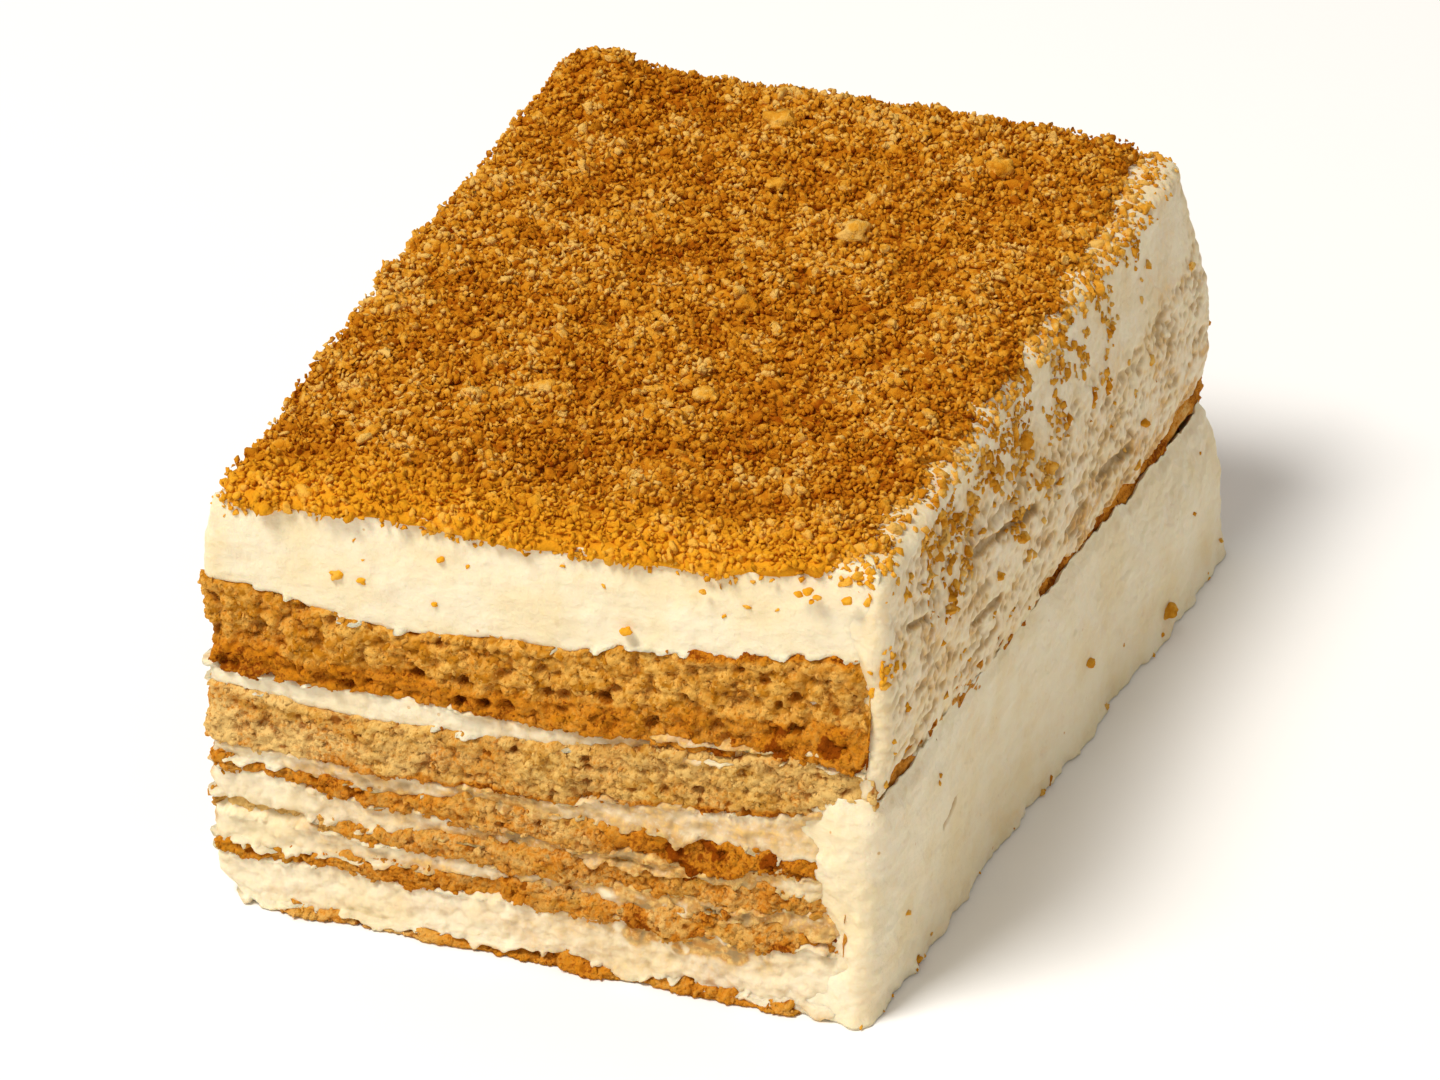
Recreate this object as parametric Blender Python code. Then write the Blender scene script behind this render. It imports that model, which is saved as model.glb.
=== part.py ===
"""Medovik honey cake: one rectangular slice of layered honey sponge and cream, with a crumb topping.

The slice lies in a frame with +Z up, its front cut facing -Y and its cream-coated long side facing +X.
Every sponge and cream layer is a solid of its own that runs through the slice.
Sizes below are in millimetres and become metres when a mesh is made.
"""

import math
import random

import bmesh
import bpy
import numpy as np
from mathutils import Matrix, Vector, noise

MM = 0.001
GAP = 0.32

# The slice's corners: front left, front right, back right, back left
FOOT = ((-38.0, -54.3), (34.5, -55.1), (45.2, 52.3), (-37.8, 54.0))
RIM = ((-36.4, -55.4), (35.6, -52.8), (40.0, 54.2), (-37.4, 54.8))
HEIGHT = 50.0
CORNER_RADIUS = 1.8

# Layers from the foot up: name, and the thickness at five stations along the front.
# The highest cream fills the rest up to the top.
STATIONS = (-35.0, -18.0, 0.0, 15.0, 31.0)
LAYERS = (
    ("base_sponge", (0.9, 0.9, 1.9, 1.2, 1.0)),
    ("cream_6", (4.7, 5.4, 4.5, 5.3, 6.3)),
    ("sponge_5", (2.0, 2.2, 3.0, 2.7, 3.1)),
    ("cream_5", (3.2, 2.0, 1.2, 1.8, 1.7)),
    ("sponge_4", (2.5, 1.8, 2.7, 2.9, 1.4)),
    ("cream_4", (3.3, 3.1, 1.3, 1.3, 2.2)),
    ("sponge_3", (1.6, 2.2, 3.6, 3.5, 3.2)),
    ("cream_3", (1.6, 1.9, 1.7, 3.2, 3.9)),
    ("sponge_2", (6.9, 6.0, 6.4, 6.3, 6.5)),
    ("cream_2", (1.9, 3.0, 2.1, 1.4, 1.1)),
    ("sponge_1", (10.9, 8.4, 9.3, 10.2, 11.2)),
)
TOP_HEIGHTS = (49.3, 50.3, 49.5, 49.7, 51.2)
LOWEST_CREAM, HIGHEST_CREAM, LIP_SPONGE = "cream_6", "cream_1", "sponge_2"
NAMES = (*(name for name, _ in LAYERS), HIGHEST_CREAM)
WAVE_SHARE = 0.16
WAVE_LENGTH = 60.0
THINNEST = 0.8
BACK_SAG = 0.17

# How far the cut edge of a layer stands out of the slice's outline
SPONGE_PROUD = 0.5
CREAM_PROUD = -0.2
LEFT_LEDGE = {"sponge_1": 1.2, "sponge_2": 1.4, "sponge_5": 0.7, "base_sponge": -1.2}
FRONT_LEDGE = {"base_sponge": 0.6, "sponge_1": -0.2}
CRAG_DEPTH = {"sponge": 0.45, "cream": 0.18}
CRAG_LENGTH = 9.0

# The cream coat on the long right side, in two bands with a lip of sponge between them
COAT_UPPER = 2.0
COAT_LOWER = 3.4
UPPER_BAND_PROUD = ((0.0, 0.3, 1.0), (0.0, 0.0, 0.9))
LOWER_BAND_PROUD = ((0.0, 0.12, 0.36, 0.52, 0.66, 0.82, 1.0), (0.0, 0.4, -0.2, 1.1, 0.9, 2.2, 1.5))
LIP_LOW, LIP_HIGH = 0.40, 0.74
LIP_DEPTH = 0.5
COAT_TOP_DROP = 3.5
TOP_ROUNDING = {"front": 0.5, "right": 1.4, "back": 0.9, "left": 2.0}

# The crumb topping
BED_THICKNESS = 1.1
BED_BUMP = 0.55
BED_GRID = (26, 38)
BED_MARGIN = ((0.0, 0.165, 0.39, 0.5, 0.6, 0.7, 1.0), (1.8, 4.4, 3.8, 2.9, 2.5, 0.9, 1.2))
BACK_RISE = 0.8
CLUMP_AT, CLUMP_REACH, CLUMP_RISE = (-31.0, 50.0), 9.0, 2.0
LARGE_CRUMBS = 80
CRUMB_RADIUS = (1.0, 2.3)

SIDE_POINTS = 48
RINGS = (0.8, 0.42)

SPONGE_COLOUR = (0.58, 0.24, 0.04)
CREAM_COLOUR = (0.93, 0.80, 0.55)
CRUMB_COLOUR = (0.47, 0.15, 0.01)
ROUGHNESS = {"sponge": 0.9, "cream": 0.55, "crumb": 0.9}


def smooth_step(low, high, value):
    share = np.clip((value - low) / (high - low), 0.0, 1.0)
    return share * share * (3 - 2 * share)


def waves(x, y, seed, length=WAVE_LENGTH):
    """A seeded ripple over the plan, between about -1 and 1."""
    draw = random.Random(seed)
    total = 0.0
    for _ in range(3):
        heading, phase = draw.uniform(0, math.tau), draw.uniform(0, math.tau)
        reach = length * draw.uniform(0.8, 1.6)
        along = x * math.cos(heading) + y * math.sin(heading)
        total = total + np.sin(along * math.tau / reach + phase)
    return total / 3


def front_profile(values, x):
    """The thickness along the front, eased between its five stations."""
    total = np.full_like(x, values[0])
    for low, high, before, after in zip(STATIONS, STATIONS[1:], values, values[1:]):
        total = total + (after - before) * smooth_step(low, high, x)
    return total


def thickness(index, x, y):
    """Follows the front's profile near the front, and the mean of it further back, where the right side sags."""
    values = LAYERS[index][1]
    mean = sum(values) / len(values)
    back = smooth_step(-50.0, 5.0, y)
    base = front_profile(values, x) * (1 - back) + mean * back
    base = np.maximum(base + WAVE_SHARE * mean * waves(x, y, index) * back, THINNEST)
    if index < NAMES.index(LIP_SPONGE):
        base = base * (1 - BACK_SAG * np.clip((y + 55) / 110, 0, 1) * smooth_step(-20.0, 36.0, x))
    return base


def boundary(index, x, y):
    """Height of the lower side of layer number index, or of the slice's top where there is no such layer."""
    x, y = np.asarray(x, float), np.asarray(y, float)
    if index == len(NAMES):
        back = smooth_step(-50.0, 5.0, y)
        return front_profile(TOP_HEIGHTS, x) * (1 - back) + (HEIGHT + 0.4 * waves(x, y, 77)) * back
    return sum((thickness(k, x, y) for k in range(index)), np.zeros_like(x))


def level(index, x, y, share):
    """Height at a share of a layer's thickness, half a gap clear of both of its neighbours."""
    low = boundary(index, x, y) + (GAP / 2 if index else 0.0)
    high = boundary(index + 1, x, y) - GAP / 2
    return low + (high - low) * share


def nominal(index):
    if index == len(NAMES):
        return HEIGHT
    return float(sum(sum(values) / len(values) for _, values in LAYERS[:index]))


def place(u, v, z):
    """The plan point of the unit square's (u, v), with the slice's corners as they are at height z."""
    rise = np.asarray(z, float) / HEIGHT
    weights = ((1 - u) * (1 - v), u * (1 - v), u * v, (1 - u) * v)
    x = sum(w * (f[0] + (r[0] - f[0]) * rise) for w, f, r in zip(weights, FOOT, RIM))
    y = sum(w * (f[1] + (r[1] - f[1]) * rise) for w, f, r in zip(weights, FOOT, RIM))
    return x, y


def unit_outline(count):
    """Points round the unit square with rounded corners, evenly spaced in millimetres, and their outward normals."""
    wide, deep = FOOT[1][0] - FOOT[0][0], FOOT[3][1] - FOOT[0][1]
    r = CORNER_RADIUS
    corners = ((wide - r, r, -0.25), (wide - r, deep - r, 0.0), (r, deep - r, 0.25), (r, r, 0.5))
    points, normals = [], []
    for cx, cy, turn in corners:
        for step in range(7):
            angle = (turn + 0.25 * step / 6) * math.tau
            normals.append((math.cos(angle), math.sin(angle)))
            points.append((cx + r * math.cos(angle), cy + r * math.sin(angle)))
    points, normals = np.array(points + points[:1]), np.array(normals + normals[:1])
    run = np.concatenate([[0.0], np.cumsum(np.linalg.norm(np.diff(points, axis=0), axis=1))])
    at = np.arange(count) * run[-1] / count
    u = np.interp(at, run, points[:, 0]) / wide
    v = np.interp(at, run, points[:, 1]) / deep
    nx, ny = np.interp(at, run, normals[:, 0]), np.interp(at, run, normals[:, 1])
    length = np.hypot(nx, ny)
    return u, v, nx / length, ny / length


def crags(x, y, z, seed):
    """Seeded lumps along a cut edge, between about -1 and 1."""
    where = np.stack(np.broadcast_arrays(x, y, z), -1).reshape(-1, 3) / CRAG_LENGTH
    found = [noise.noise(Vector(p) + Vector((7.3 * seed, 0, 0))) for p in where]
    return np.array(found).reshape(np.shape(x)) * 1.8


def side_offset(name, v, nx, x, y, z, share):
    """How far a layer's cut edge stands out of the outline at a share of its height."""
    index = NAMES.index(name)
    kind = "cream" if "cream" in name else "sponge"
    proud = SPONGE_PROUD if kind == "sponge" else CREAM_PROUD
    proud = proud + CRAG_DEPTH[kind] * crags(x, y, z, index)
    left, right = smooth_step(0.3, 0.9, -nx), smooth_step(0.3, 0.9, nx)
    proud = proud + LEFT_LEDGE.get(name, 0.0) * left
    proud = proud + FRONT_LEDGE.get(name, 0.0) * smooth_step(0.02, 0.0, v)
    if name == HIGHEST_CREAM:
        front, back = smooth_step(0.02, 0.0, v), smooth_step(0.98, 1.0, v)
        rounding = TOP_ROUNDING["right"] * right + TOP_ROUNDING["left"] * left * (1 - 0.6 * v)
        rounding = rounding + TOP_ROUNDING["front"] * front + TOP_ROUNDING["back"] * back
        return proud - 0.5 * right - rounding * share**3
    return proud


def room_for_coat(name, share):
    """How far inside the right side a layer ends, so that it clears the coat."""
    if name in (HIGHEST_CREAM, LOWEST_CREAM):
        return 0.7
    if name == LIP_SPONGE and LIP_LOW < share < LIP_HIGH:
        return LIP_DEPTH
    above_lip = NAMES.index(name) > NAMES.index(LIP_SPONGE) or (name == LIP_SPONGE and share > LIP_HIGH)
    return (COAT_UPPER if above_lip else COAT_LOWER) + GAP


def object_of(name, points, faces, colour, roughness):
    mesh = bpy.data.meshes.new(name)
    mesh.from_pydata([tuple(float(c) * MM for c in p) for p in points], [], faces)
    shaped = bmesh.new()
    shaped.from_mesh(mesh)
    bmesh.ops.recalc_face_normals(shaped, faces=shaped.faces)
    shaped.to_mesh(mesh)
    shaped.free()
    made = bpy.data.objects.new(name, mesh)
    bpy.context.scene.collection.objects.link(made)
    finish = bpy.data.materials.get(roughness) or bpy.data.materials.new(roughness)
    finish.use_nodes = True
    shader = finish.node_tree.nodes["Principled BSDF"]
    shader.inputs["Base Color"].default_value = (*colour, 1.0)
    shader.inputs["Roughness"].default_value = ROUGHNESS[roughness]
    mesh.materials.append(finish)
    return made


def band_faces(wide, narrow):
    """Triangles between two closed rings of point numbers, the second with as many, half as many, or one."""
    count, faces = len(wide), []
    for i in range(count):
        j = (i + 1) % count
        if len(narrow) == 1:
            faces.append((wide[i], wide[j], narrow[0]))
        elif len(narrow) == count:
            faces += [(wide[i], wide[j], narrow[j]), (wide[i], narrow[j], narrow[i])]
        elif i % 2:
            faces.append((wide[i], wide[j], narrow[j // 2]))
        else:
            after = narrow[(i // 2 + 1) % len(narrow)]
            faces += [(wide[i], wide[j], narrow[i // 2]), (wide[j], after, narrow[i // 2])]
    return faces


def ringed_solid(name, rows, colour, roughness):
    """A closed solid from rings of points. A ring has as many points as its neighbour, half as many, or one.

    Each band starts from the wider ring, so two layers that face each other are cut into the same triangles.
    """
    points, faces, rings = [], [], []
    for row in rows:
        rings.append((len(row), float(np.ptp(row[:, 0])), [len(points) + k for k in range(len(row))]))
        points.extend(row)
    for low, high in zip(rings, rings[1:]):
        wide, narrow = sorted((low, high), reverse=True)
        faces += band_faces(wide[2], narrow[2])
    return object_of(name, points, faces, colour, roughness)


def cap_rings(index, lift, outline):
    """The inner rings of the boundary between two layers, from the rim inwards, and its middle point."""
    u, v = outline[0][::2], outline[1][::2]
    rows = []
    for share in (*RINGS, 0.0):
        x, y = place(0.5 + (u - 0.5) * share, 0.5 + (v - 0.5) * share, nominal(index))
        z = boundary(index, x, y) + lift
        rows.append(np.stack([x, y, z], -1) if share else np.array([(x[0], y[0], z[0])]))
    return rows


def wall_rows(name, shares, outline):
    """The rows of points up a layer's cut edge."""
    u, v, nx, ny = outline
    index = NAMES.index(name)
    rows = []
    for share in shares:
        x, y = place(u, v, nominal(index) + share * (nominal(index + 1) - nominal(index)))
        z = level(index, x, y, share)
        out = side_offset(name, v, nx, x, y, z, share)
        limit = place(1.0, v, z)[0] - room_for_coat(name, share)
        x, y = np.minimum(x + out * nx, limit), y + out * ny
        rows.append(np.stack([x, y, level(index, x, y, share)], -1))
    return rows


def layer(name):
    """One sponge or cream layer, right through the slice."""
    outline = unit_outline(SIDE_POINTS)
    index = NAMES.index(name)
    shares = {
        "cream_1": (0.0, 0.35, 0.7, 0.88, 1.0),
        "sponge_1": (0.0, 0.33, 0.67, 1.0),
        LIP_SPONGE: (0.0, LIP_LOW - 0.02, LIP_LOW + 0.02, LIP_HIGH - 0.02, LIP_HIGH + 0.02, 1.0),
    }.get(name, (0.0, 0.5, 1.0))
    below = cap_rings(index, GAP / 2 if index else 0.0, outline)[::-1]
    above = cap_rings(index + 1, -GAP / 2, outline)
    rows = below + wall_rows(name, shares, outline) + above
    kind = "cream" if "cream" in name else "sponge"
    return ringed_solid(name, rows, CREAM_COLOUR if kind == "cream" else SPONGE_COLOUR, kind)


def coat_band(name, low, high, inner, outer):
    """A band of the coat down the right side. low and high are heights along it, as functions of the plan point.

    inner is how far it reaches into the slice, and outer how far it stands out at a share of the way back.
    """
    spread = np.array([0.0, 0.012, 0.035, *np.linspace(0.1, 0.9, 11), 0.965, 0.988, 1.0])
    ends = np.array([-0.5, -0.15, 0.0, *[0.0] * 11, 0.0, -0.15, -0.5]) * inner
    stand_out = np.array([-0.35, *[0.0] * 15, 0.35])
    levels = (0.0, 0.25, 0.5, 0.75, 1.0)
    swell = (-0.25, 0.1, 0.2, 0.1, -0.35)
    loops = []
    for v, end, further in zip(spread, ends, stand_out):
        x0, y0 = place(1.0, v, HEIGHT / 2)
        bottom, top = float(low(x0, y0)), float(high(x0, y0))
        loop = []
        for level, bulge in zip(levels, swell):
            z = bottom + (top - bottom) * level
            x, y = place(1.0, v, z)
            lump = CRAG_DEPTH["cream"] * crags(x, y, z, 31)
            loop.append((x + np.interp(v, *outer) + end + bulge + float(lump), y + further, z))
        for z in (top, bottom):
            x, y = place(1.0, v, z)
            loop.append((x - inner, y + further, z))
        loops.append(loop)
    count = len(loops[0])
    points = [p for loop in loops for p in loop]
    faces = [tuple(range(count)), tuple(range(len(points) - count, len(points)))]
    for row in range(len(loops) - 1):
        for i in range(count):
            a, b = row * count + i, row * count + (i + 1) % count
            faces.append((a, b, b + count, a + count))
    band = object_of(name, points, faces, CREAM_COLOUR, "cream")
    shaped = bmesh.new()
    shaped.from_mesh(band.data)
    bmesh.ops.triangulate(shaped, faces=shaped.faces)
    shaped.to_mesh(band.data)
    shaped.free()
    return band


def fuse(target, pieces):
    """One Boolean union of the target and its pieces, applied. Loose scraps that it leaves are dropped."""
    group = bpy.data.collections.new(target.name + "_pieces")
    bpy.context.scene.collection.children.link(group)
    for piece in pieces:
        bpy.context.scene.collection.objects.unlink(piece)
        group.objects.link(piece)
    union = target.modifiers.new("Join", "BOOLEAN")
    union.operation, union.solver = "UNION", "MANIFOLD"
    union.operand_type, union.collection = "COLLECTION", group
    bpy.context.view_layer.update()
    graph = bpy.context.evaluated_depsgraph_get()
    joined = bpy.data.meshes.new_from_object(target.evaluated_get(graph))
    target.modifiers.clear()
    shaped = bmesh.new()
    shaped.from_mesh(joined)
    shaped.verts.ensure_lookup_table()
    bodies, seen = [], set()
    for vertex in shaped.verts:
        body, reach = set(), [vertex]
        while reach:
            found = reach.pop()
            if found.index not in seen:
                seen.add(found.index)
                body.add(found.index)
                reach += [edge.other_vert(found) for edge in found.link_edges]
        bodies.append(body)
    main_body = max(bodies, key=len)
    bmesh.ops.delete(shaped, geom=[v for v in shaped.verts if v.index not in main_body], context="VERTS")
    bmesh.ops.triangulate(shaped, faces=shaped.faces)
    shaped.to_mesh(joined)
    shaped.free()
    target.data = joined
    for piece in pieces:
        bpy.data.objects.remove(piece)
    bpy.data.collections.remove(group)


def lip_height(share):
    """The height of sponge 2 at a share of its thickness, over the plan."""
    index = NAMES.index(LIP_SPONGE)

    def height(x, y):
        low, high = boundary(index, x, y), boundary(index + 1, x, y)
        return low + (high - low) * share

    return height


def rim_height(x, y):
    return boundary(len(NAMES), x, y)


def bed_height(x, y):
    """How thick the crumbs lie: even, more toward the back, and heaped in a clump at the back left corner."""
    away = np.hypot(x - CLUMP_AT[0], y - CLUMP_AT[1]) / CLUMP_REACH
    return BED_THICKNESS + BACK_RISE * smooth_step(10.0, 50.0, y) + CLUMP_RISE * np.exp(-(away**2) * 2)


def crumb_bed():
    """The crumb layer: a thin bed with crumb-sized bumps and an uneven edge."""
    across, along = BED_GRID
    wide, deep = FOOT[1][0] - FOOT[0][0], FOOT[3][1] - FOOT[0][1]
    step_u, step_v = 1 / (across - 1), 1 / (along - 1)
    top = {(i, j): number for number, (i, j) in enumerate((i, j) for j in range(along) for i in range(across))}
    rim = [(i, 0) for i in range(across - 1)] + [(across - 1, j) for j in range(along - 1)]
    rim += [(across - 1 - i, along - 1) for i in range(across - 1)] + [(0, along - 1 - j) for j in range(along - 1)]
    draw = random.Random(5)
    u = np.array([i * step_u for i, j in top])
    v = np.array([j * step_v for i, j in top])
    inner = np.array([0 < i < across - 1 and 0 < j < along - 1 for i, j in top])
    jitter = np.array([(draw.uniform(-0.3, 0.3), draw.uniform(-0.3, 0.3)) for _ in top])
    u, v = u + inner * jitter[:, 0] * step_u, v + inner * jitter[:, 1] * step_v
    du, dv = (u - 0.5) * wide, (v - 0.5) * deep
    past_u, past_v = np.abs(du) - wide / 2 + CORNER_RADIUS, np.abs(dv) - deep / 2 + CORNER_RADIUS
    corner = (past_u > 0) & (past_v > 0)
    pull = np.where(corner, np.maximum(past_u, past_v) / np.maximum(np.hypot(past_u, past_v), 0.001), 1.0)
    du = np.where(corner, np.sign(du) * (wide / 2 - CORNER_RADIUS + past_u * pull), du)
    dv = np.where(corner, np.sign(dv) * (deep / 2 - CORNER_RADIUS + past_v * pull), dv)
    u, v = 0.5 + du / wide, 0.5 + dv / deep
    x, y = place(u, v, HEIGHT)
    near_left, near_right = np.clip(1 - u * 9, 0, 1), np.clip(1 - (1 - u) * 9, 0, 1)
    near_front, near_back = np.clip(1 - v * 14, 0, 1), np.clip(1 - (1 - v) * 14, 0, 1)
    lumps = 0.8 * crags(x * 2.2, y * 2.2, 0 * x, 41)
    x = x + near_left * (TOP_ROUNDING["left"] * (1 - 0.6 * v) + 0.3 + lumps)
    x = x - near_right * (np.interp(v, *BED_MARGIN) + 0.3 + lumps)
    y = y + near_front * (0.5 + lumps) - near_back * (1.0 + lumps)
    bump = np.array([draw.uniform(-BED_BUMP, BED_BUMP) for _ in top])
    z = boundary(len(NAMES), x, y) + bed_height(x, y) * np.where(inner, 1.0, 0.9) + bump * np.where(inner, 1.0, 0.4)
    points = list(np.stack([x, y, z], -1))
    faces = []
    for j in range(along - 1):
        for i in range(across - 1):
            a, b = top[i, j], top[i + 1, j]
            c, d = top[i + 1, j + 1], top[i, j + 1]
            faces += [(a, b, c), (a, c, d)] if (i + j) % 2 else [(a, b, d), (b, c, d)]
    above = [top[key] for key in rim]
    edge_x, edge_y = x[above], y[above]
    middle_x, middle_y = float(edge_x.mean()), float(edge_y.mean())
    for share in (1.0, *RINGS, 0.0):
        skip = 1 if share == 1.0 else 2
        px = middle_x + (edge_x[::skip] - middle_x) * share
        py = middle_y + (edge_y[::skip] - middle_y) * share
        pz = boundary(len(NAMES), px, py) + GAP
        row = np.stack([px, py, pz], -1) if share else np.array([(px[0], py[0], pz[0])])
        below = [len(points) + k for k in range(len(row))]
        points += list(row)
        faces += band_faces(above, below)
        above = below
    return object_of("crumb_topping", points, faces, CRUMB_COLOUR, "crumb")


def large_crumbs():
    """The larger crumbs on the bed, spread evenly by a golden-ratio rule, each an uneven twenty-sided lump."""
    draw = random.Random(12)
    made = []
    golden = (math.sqrt(5) - 1) / 2
    for number in range(LARGE_CRUMBS):
        u = 0.09 + 0.80 * ((number * golden) % 1.0)
        v = 0.06 + 0.88 * (number + 0.5) / LARGE_CRUMBS
        x, y = place(u, v, HEIGHT)
        z = float(boundary(len(NAMES), x, y) + bed_height(x, y))
        smallest, largest = CRUMB_RADIUS
        radius = smallest + (largest - smallest) * draw.random() ** 2.5
        shaped = bmesh.new()
        bmesh.ops.create_icosphere(shaped, subdivisions=1, radius=radius * MM)
        for vertex in shaped.verts:
            vertex.co *= draw.uniform(0.75, 1.15)
        turn = Matrix.Rotation(draw.uniform(0, math.tau), 4, "Z")
        squash = Matrix.Diagonal((1.0, draw.uniform(0.7, 1.0), draw.uniform(0.55, 0.8), 1.0))
        shaped.transform(turn @ squash)
        for vertex in shaped.verts:
            vertex.co.z = max(vertex.co.z, -0.5 * BED_THICKNESS * MM)
        shaped.transform(Matrix.Translation(Vector((x, y, z)) * MM))
        mesh = bpy.data.meshes.new("crumb")
        shaped.to_mesh(mesh)
        shaped.free()
        crumb = bpy.data.objects.new(f"crumb_{number}", mesh)
        bpy.context.scene.collection.objects.link(crumb)
        made.append(crumb)
    return made


def centre_on_foot(objects):
    """Moves every mesh so that the origin is at the middle of the slice's box, on the surface that it stands on."""
    corners = np.array([v.co for o in objects for v in o.data.vertices])
    middle = (corners.min(0) + corners.max(0)) / 2
    shift = Matrix.Translation((-middle[0], -middle[1], -corners[:, 2].min()))
    for o in objects:
        o.data.transform(shift)


def main():
    for leftover in list(bpy.data.objects):
        bpy.data.objects.remove(leftover)
    made = {name: layer(name) for name in NAMES}
    upper_low, lower_high = lip_height(LIP_HIGH + 0.04), lip_height(LIP_LOW - 0.04)
    upper = coat_band(
        "coat_upper",
        lambda x, y: upper_low(x, y) + GAP,
        lambda x, y: rim_height(x, y) - COAT_TOP_DROP,
        COAT_UPPER,
        UPPER_BAND_PROUD,
    )
    lower = coat_band(
        "coat_lower",
        lambda x, y: 0.0,
        lambda x, y: lower_high(x, y) - GAP,
        COAT_LOWER,
        LOWER_BAND_PROUD,
    )
    fuse(made[HIGHEST_CREAM], [upper])
    fuse(made[LOWEST_CREAM], [lower])
    topping = crumb_bed()
    fuse(topping, large_crumbs())
    centre_on_foot([*made.values(), topping])


main()
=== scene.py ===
# %% [markdown]
# A slice of medovik, the layered honey cake. Thin honey sponges and sour cream are stacked by turns, one
# long side is coated with cream, and the top is covered with crumbs of the same sponge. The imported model
# gives the solids and their place. This lesson dresses them: torn sponge, soft cream and a bed of loose
# crumbs.

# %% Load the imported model
import math
import random

import bmesh
import bpy
import numpy as np
from mathutils import Euler, Matrix, Vector, noise


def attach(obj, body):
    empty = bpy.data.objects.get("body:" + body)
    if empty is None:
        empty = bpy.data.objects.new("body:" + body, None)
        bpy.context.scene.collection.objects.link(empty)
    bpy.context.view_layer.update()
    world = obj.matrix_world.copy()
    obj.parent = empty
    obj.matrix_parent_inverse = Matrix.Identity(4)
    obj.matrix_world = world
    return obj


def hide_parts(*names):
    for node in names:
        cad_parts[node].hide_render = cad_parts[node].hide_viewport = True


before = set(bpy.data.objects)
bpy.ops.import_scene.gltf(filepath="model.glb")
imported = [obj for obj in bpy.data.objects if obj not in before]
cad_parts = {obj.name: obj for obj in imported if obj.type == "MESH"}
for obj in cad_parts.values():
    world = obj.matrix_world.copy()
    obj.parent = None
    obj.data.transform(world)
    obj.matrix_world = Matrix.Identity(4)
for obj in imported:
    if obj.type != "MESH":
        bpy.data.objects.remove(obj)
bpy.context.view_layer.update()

MM = 0.001
print("nodes", sorted(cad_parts))

# %% [markdown]
# The slice's own form comes first, because every piece is cut from it. It could be read off the packed
# solids, but their faces are far too large for torn sponge. So the same rules are written out again here
# in millimetres: a box with eight free corners, and the thickness of each layer at five stations along
# the front.

# %% The slice's form
SHIFT = np.array((-3.29, 0.49, 0.0))
FOOT = ((-38.0, -54.3), (34.5, -55.1), (45.2, 52.3), (-37.8, 54.0))
RIM = ((-36.4, -55.4), (35.6, -52.8), (40.0, 54.2), (-37.4, 54.8))
HEIGHT, CORNER_RADIUS = 50.0, 1.8
STATIONS = (-35.0, -18.0, 0.0, 15.0, 31.0)
LAYERS = (
    ("base_sponge", (0.9, 0.9, 1.9, 1.2, 1.0)),
    ("cream_6", (4.7, 5.4, 4.5, 5.3, 6.3)),
    ("sponge_5", (2.0, 2.2, 3.0, 2.7, 3.1)),
    ("cream_5", (3.2, 2.0, 1.2, 1.8, 1.7)),
    ("sponge_4", (2.5, 1.8, 2.7, 2.9, 1.4)),
    ("cream_4", (3.3, 3.1, 1.3, 1.3, 2.2)),
    ("sponge_3", (1.6, 2.2, 3.6, 3.5, 3.2)),
    ("cream_3", (1.6, 1.9, 1.7, 3.2, 3.9)),
    ("sponge_2", (6.9, 6.0, 6.4, 6.3, 6.5)),
    ("cream_2", (1.9, 3.0, 2.1, 1.4, 1.1)),
    ("sponge_1", (10.9, 8.4, 9.3, 10.2, 11.2)),
)
TOP_HEIGHTS = (49.3, 50.3, 49.5, 49.7, 51.2)
NAMES = (*(name for name, _ in LAYERS), "cream_1")
LIP = NAMES.index("sponge_2")


def smooth_step(low, high, value):
    share = np.clip((value - low) / (high - low), 0.0, 1.0)
    return share * share * (3 - 2 * share)


def waves(x, y, seed, length=60.0):
    draw = random.Random(seed)
    total = 0.0
    for _ in range(3):
        heading, phase = draw.uniform(0, math.tau), draw.uniform(0, math.tau)
        reach = length * draw.uniform(0.8, 1.6)
        total = total + np.sin((x * math.cos(heading) + y * math.sin(heading)) * math.tau / reach + phase)
    return total / 3


def front_profile(values, x):
    total = np.full_like(x, values[0])
    for low, high, before, after in zip(STATIONS, STATIONS[1:], values, values[1:]):
        total = total + (after - before) * smooth_step(low, high, x)
    return total


def thickness(index, x, y):
    values = LAYERS[index][1]
    mean = sum(values) / len(values)
    back = smooth_step(-50.0, 5.0, y)
    base = front_profile(values, x) * (1 - back) + mean * back
    base = np.maximum(base + 0.16 * mean * waves(x, y, index) * back, 0.8)
    if index < LIP:
        base = base * (1 - 0.17 * np.clip((y + 55) / 110, 0, 1) * smooth_step(-20.0, 36.0, x))
    return base


def boundary(index, x, y):
    """Height of the lower side of a layer, or of the slice's top."""
    x, y = np.asarray(x, float), np.asarray(y, float)
    if index == len(NAMES):
        back = smooth_step(-50.0, 5.0, y)
        return front_profile(TOP_HEIGHTS, x) * (1 - back) + (HEIGHT + 0.4 * waves(x, y, 77)) * back
    return sum((thickness(k, x, y) for k in range(index)), np.zeros_like(x))


def nominal(index):
    means = [sum(values) / len(values) for _, values in LAYERS]
    return HEIGHT if index == len(NAMES) else float(sum(means[:index]))


def place(u, v, z):
    """The plan point of the unit square's (u, v) at height z."""
    rise = np.asarray(z, float) / HEIGHT
    weights = ((1 - u) * (1 - v), u * (1 - v), u * v, (1 - u) * v)
    x = sum(w * (f[0] + (r[0] - f[0]) * rise) for w, f, r in zip(weights, FOOT, RIM))
    y = sum(w * (f[1] + (r[1] - f[1]) * rise) for w, f, r in zip(weights, FOOT, RIM))
    return x, y


for name, index in zip(NAMES, range(len(NAMES))):
    print(name, "starts at", round(nominal(index), 1), "mm")

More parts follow.
